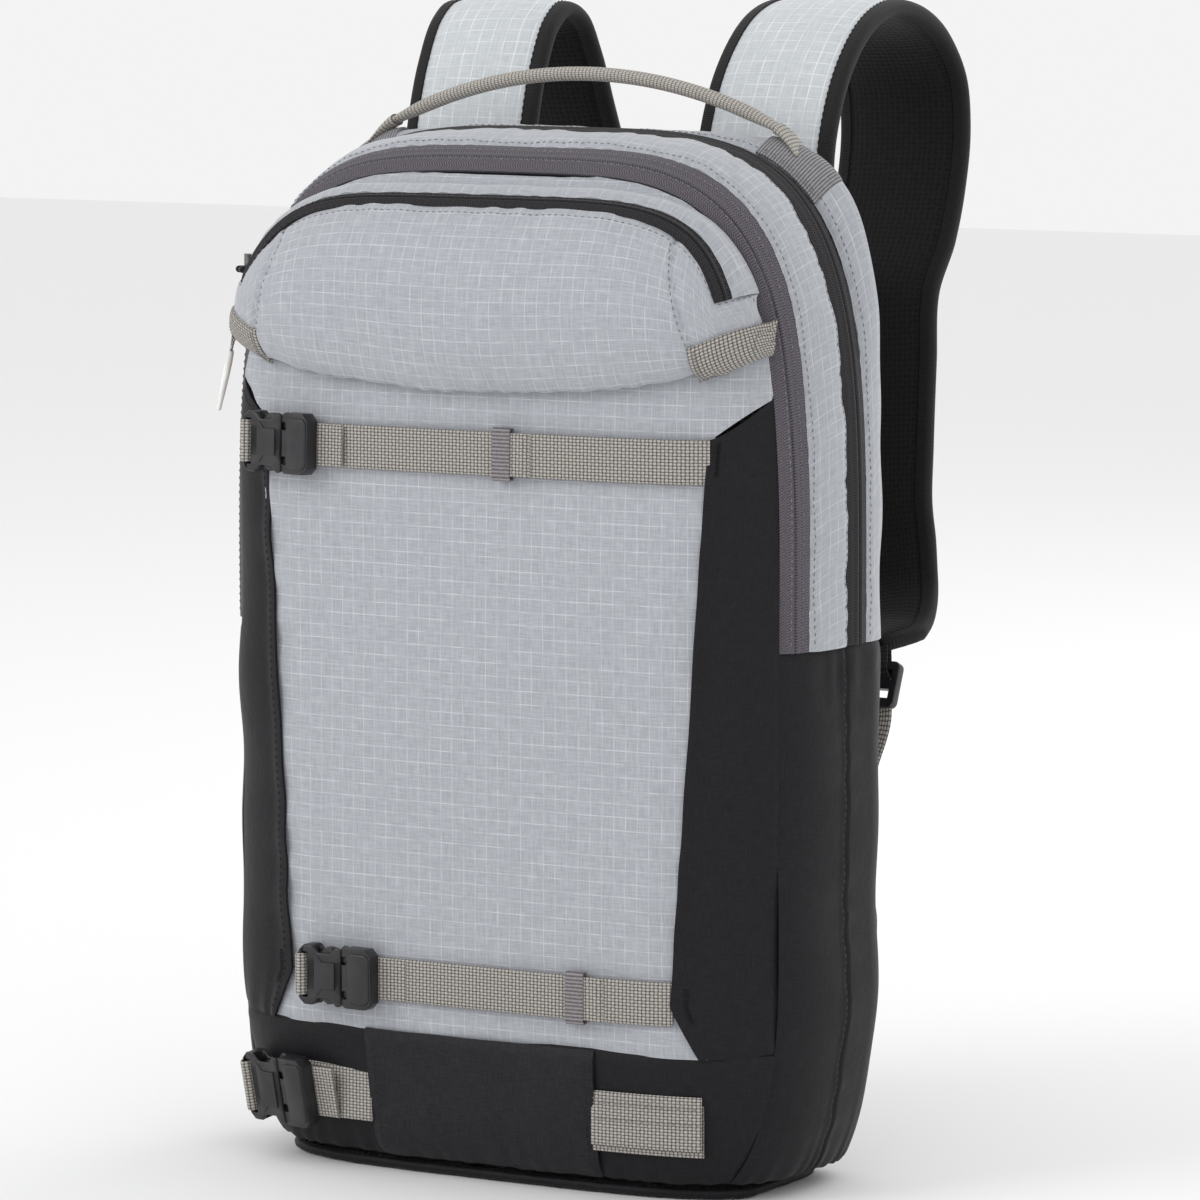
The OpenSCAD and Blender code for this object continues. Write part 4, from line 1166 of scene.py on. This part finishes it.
# ---------------------------------------------------------------- shoulder straps

tail = [(80, 174, 400), (83, 169, 365), (87, 163, 325), (90, 159, 300), (94, 158, 278), (98, 153, 260),
        (104, 140, 247), (110, 112, 237)]
arches = {
    "right": [(76, 68.5, 402), (76, 69, 440), (76, 73, 475), (76, 90, 507), (76, 113, 526), (76, 140, 533),
              (76, 165, 529), (76, 188, 517), (77, 203, 497), (78, 205, 475), (79, 198, 445), (80, 187, 422)],
    "left": [(84, 68.5, 402), (84, 69, 440), (84, 74, 476), (84, 84, 506), (85, 97, 524), (86, 112, 531),
             (86, 126, 526), (86, 138, 510), (86, 150, 486), (85, 162, 458), (83, 170, 428)]}


def shoulder_strap(name, side):
    """A foam strap: light cloth outside, black mesh inside, and black tape bound over both edges."""
    line = smooth_line(arches[name] + tail, 150)
    line[:, 0] *= side
    run = np.linspace(0, 1, 150)
    start = len(arches[name]) / (len(arches[name]) + len(tail))
    half = np.interp(run, [0, start, 1], [36, 34, 22]) * np.sqrt(np.clip((1.004 - run) / 0.03, 0.02, 1))
    wide, out = frames(line, (-1, 0, 0))
    wave = folds(run * 600, run * 0, 5 + side, 90, 0.35)
    crown = np.linspace(-1, 1, 13)[1:-1]
    shapes = []
    for w, soft in zip(half, wave):
        tape = min(7.0, w * 0.4)
        edge = [(0.0, 0.0), (0.35, 1.7), (1.3, 3.0), (3.2, 3.6), (tape - 0.3, 3.8), (tape, 3.0)]
        rim = [(-w + d, h) for d, h in edge]
        top = rim + [((w - tape) * q, 3.0 + 2.6 * (1 - q * q) ** 0.6 + soft * (1 - q * q)) for q in crown]
        top += [(-d, h) for d, h in reversed(rim)]
        shapes.append(top + [(d, -h) for d, h in reversed(top[1:-1])])
    rings = sweep(line, wide, out, shapes)
    count = len(rings[0])
    upper = 6 + len(crown) + 6 - 1
    slots = []
    for k in range(count):
        here = k if k < upper else count - 1 - k
        in_tape = here < 5 or here >= upper - 5
        slots.append(2 if in_tape else 0 if k < upper else 1)
    piece = Piece("shoulder_strap_" + name + "_pad", PAD_TOP, MESH, BINDING, DARK_THREAD)
    tube(piece, rings, slots)
    for k in (4, upper - 4):
        sew(piece, rings[2:-4, k] + out[2:-4] * 0.1, out[2:-4], 3)
    pad = piece.make("root", ["shoulder_strap_" + name])

    piece = Piece("strap_root_tape_" + name, BLACK)
    x = side * abs(line[0][0])
    lap = ((61.2, 396), (61.4, 399), (66, 402), (73.5, 404), (75.4, 409), (75.6, 414))
    ribbon(piece, [(x, y, z) for y, z in lap], (1, 0, 0), 74, 1.2)
    piece.make("root", ())


def lower_webbing(name, side):
    """The webbing from the back panel's corner up to the ladder lock, and the tape above the lock."""
    piece = Piece("strap_webbing_" + name + "_web", WEBBING)
    line = [(115.6, 103.4, 212), (117, 101, 206), (115, 90, 180), (118, 78, 152), (124, 68, 130),
            (130, 63, 116), (131.4, 60.4, 108)]
    ribbon(piece, smooth_line(line, 50) * (side, 1, 1), (1, 0, 0), 20, 1.4)
    piece.make("root", ["strap_webbing_" + name])
    piece = Piece("lock_tape_" + name, DARK_WEBBING)
    line = [(108.5, 119, 239), (110.5, 112.5, 235), (112.5, 109.6, 229), (113.6, 109.0, 224.5),
            (114, 106.4, 223.2), (113.6, 104.2, 226), (111, 108, 236)]
    ribbon(piece, smooth_line(line, 40) * (side, 1, 1), (1, 0, 0), 20, 1.2)
    piece.make("root", ())
    rounded("ladder_lock_" + name, 0.9, ACETAL, "ladder_" + name, 3)


def sternum():
    """The chest strap's two halves and its buckle, in the frame that leans with the shoulder straps."""
    lean = Matrix.Translation((0, 173.4, 348)) @ Matrix.Rotation(math.radians(-8.5), 4, "X") \
        @ Matrix.Rotation(math.pi, 4, "Z")
    for name, x0, x1 in (("left", 8, 100), ("right", -100, -8)):
        piece = Piece("sternum_strap_" + name + "_web", DARK_WEBBING)
        line = placed(lean, [(x, -0.8, 0) for x in np.linspace(x0, x1, 30)])
        ribbon(piece, line, turned(lean, (0, 0, 1)), 20, 1.4)
        piece.make("sternum", ["sternum_strap_" + name])
    at = lean @ Matrix.Translation((0, -1.8, 0))
    buckle("sternum", at, "sternum", "sternum_plug", 20, ())


# ---------------------------------------------------------------- back and inside

def back():
    """The back cloth and the five moulded pads on it."""
    piece = Piece("back_panel_cloth", BLACK, LINING)
    e = float(edge_in(back_y))

    def half_back(z):
        above = 1 - (np.maximum(z - split_z, 0) / (top_h - e + 0.6)) ** back_power
        below = 1 - (np.maximum(foot_z - z, 0) / foot_k) ** 2.2
        return (half_w - e) * np.maximum(above, 0.0) ** (1 / back_power) * below ** 0.25

    def f(u, v):
        z = mix(8, split_z + top_h - e - 0.5, np.sin(v * math.pi / 2))
        return mix(-1.0, 1.0, u) * half_back(z), 59.6 + 0 * u, z

    shell(piece, f, 60, 110, tuck=(1.2, 1.2, 1.2, 1.2),
          relief=lambda u, v, s, t: 0.4 + folds(s, t, 91, 90, 0.35))
    piece.make("root", ["back_panel"])

    piece = Piece("back_pads", MESH, MESH)
    pads = [(x, z0, z1, 88) for z0, z1 in ((250, 392), (94, 238)) for x in (-53, 53)] + [(0, 30, 82, 196)]
    for x0, z0, z1, wide in pads:
        def pad(u, v):
            a = 2 * math.pi * u
            r = np.sin(v * math.pi / 2)
            square = (np.abs(np.cos(a)) ** 5 + np.abs(np.sin(a)) ** 5) ** -0.2
            x = wide / 2 * r * np.cos(a) * np.minimum(square, 1.13)
            z = (z1 - z0) / 2 * r * np.sin(a) * np.minimum(square, 1.13)
            return x0 + x, 60.4 + 11.2 * (1 - r ** 7) ** 0.5, (z0 + z1) / 2 + z
        shell(piece, pad, 96, 26, thick=1.0, centre=(x0, 40, (z0 + z1) / 2))
    cushions = piece.make("root", ["back_foam"])


def inside():
    """The wall between the compartments, the laptop sleeve and the stiffener."""
    y = low("divider_lower")[1] + 0.7
    for name, z0, z1, body in (("lower", 8, split_z - 0.5, "root"),
                               ("upper", split_z + gap, split_z + top_h - 12, "front_lid")):
        piece = Piece("divider_" + name + "_cloth", LINING, LINING)

        def f(u, v):
            z = mix(z0, z1, np.sin(v * math.pi / 2) if name == "upper" else v)
            return mix(-1.0, 1.0, u) * np.maximum(side_x(y, z) - 2.2, 1), y + 0 * u, z
        shell(piece, f, 60, 60, thick=1.0, relief=lambda u, v, s, t: folds(s, t, 95, 70, 0.4),
              centre=(0, 60, 240))
        piece.make(body, ["divider_" + name])

    piece = Piece("laptop_sleeve_cloth", LINING, LINING, BINDING)
    reach, foot, top = 118, 20, 318
    shell(piece, lambda u, v: (mix(-reach, reach, u), 46.6 + 0 * u, mix(foot, top, v)), 50, 60, thick=1.0,
          relief=lambda u, v, s, t: folds(s, t, 97, 80, 0.5))
    ribbon(piece, [(x, 46.4, top + 1) for x in np.linspace(-reach, reach, 40)], (0, 0, 1), 9, 2.6, 2)
    piece.make("root", ["laptop_sleeve"])

    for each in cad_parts["frame_sheet"].material_slots:
        each.link = "OBJECT"
        each.material = SHEETING


# ---------------------------------------------------------------- zip sliders and pulls

def on_left(y, z):
    """The frame on the left wall at y, z: local -X outwards and Z along the zip."""
    turn = math.atan(side_x(y + 0.5, z) - side_x(y - 0.5, z))
    lean = math.atan(side_x(y, z - 0.5) - side_x(y, z + 0.5))
    return Matrix.Translation((-side_x(y, z), y, z)) @ Matrix.Rotation(turn, 4, "Z") \
        @ Matrix.Rotation(lean, 4, "Y")


def pull(name, at, body, nodes):
    """A pull: a cast tag on the slider's pin, a cord loop, and a moulded grip."""
    piece = Piece(name, ZINC, CORD, MILKY)
    pin, length = -6.4, 48
    a = np.radians(np.arange(0, 360, 18))
    eye = placed(at, [(pin + 1.75 * math.cos(c), 0, 1.75 * math.sin(c)) for c in a])
    cord(piece, eye, 0.7, 0, 8, closed=True, across=turned(at, (0, 1, 0)))
    tag = placed(at, [(pin, 0, -1.9), (pin, 0, -5), (pin, 0, -9), (pin, 0, -12.8)])
    widths = [2.6] * 3 + [3.4] * 8 + [3.0, 2.4, 1.4]
    ribbon(piece, smooth_line(tag, 14), turned(at, (0, 1, 0)), widths, 1.3)
    loop = [(pin, -0.9, -20), (pin + 0.3, -1.0, -15), (pin + 0.6, -0.7, -11.8), (pin, 0, -10.9),
            (pin - 0.6, 0.7, -11.8), (pin - 0.3, 1.0, -15), (pin, 0.9, -20)]
    cord(piece, smooth_line(placed(at, loop), 40), 0.62, 1, 8)
    grip = [(-18.6, 0.6, 0.5), (-19, 1.4, 1.1), (-22, 1.9, 1.6), (-27, 2.3, 1.7), (-33, 2.1, 1.6),
            (-39, 1.7, 1.4), (-44, 1.4, 1.1), (-length + 0.4, 1.0, 0.8), (-length, 0.4, 0.3)]
    steps = smooth_line(grip, 30)
    rings = [placed(at, [(pin + t * math.cos(c), w * math.sin(c) * 0.9, z) for c in a]) for z, w, t in steps]
    tube(piece, rings, 2)
    piece.make(body, nodes)


def zips():
    """The sliders, and a pull on the main and the front one."""
    for which, y, z, body in (("main", 16, 306, "main_slider"), ("front", -28.5, 392, "front_slider")):
        rounded(which + "_slider", 0.5, ZINC, body, 2)
        pull(which + "_pull_cord", on_left(y, z), which + "_pull", [which + "_pull"])
    rounded("pocket_slider", 0.5, ZINC, "front_lid", 2)


front_panel()
for side_name, side_sign in SIDES:
    wing(side_name, side_sign)
    side_panel(side_name, side_sign)
    shoulder_strap(side_name, side_sign)
    lower_webbing(side_name, side_sign)
bottom_front()
base()
dome_bands()
pocket()
front_straps()
bottom_strap()
handle()
sternum()
back()
inside()
zips()
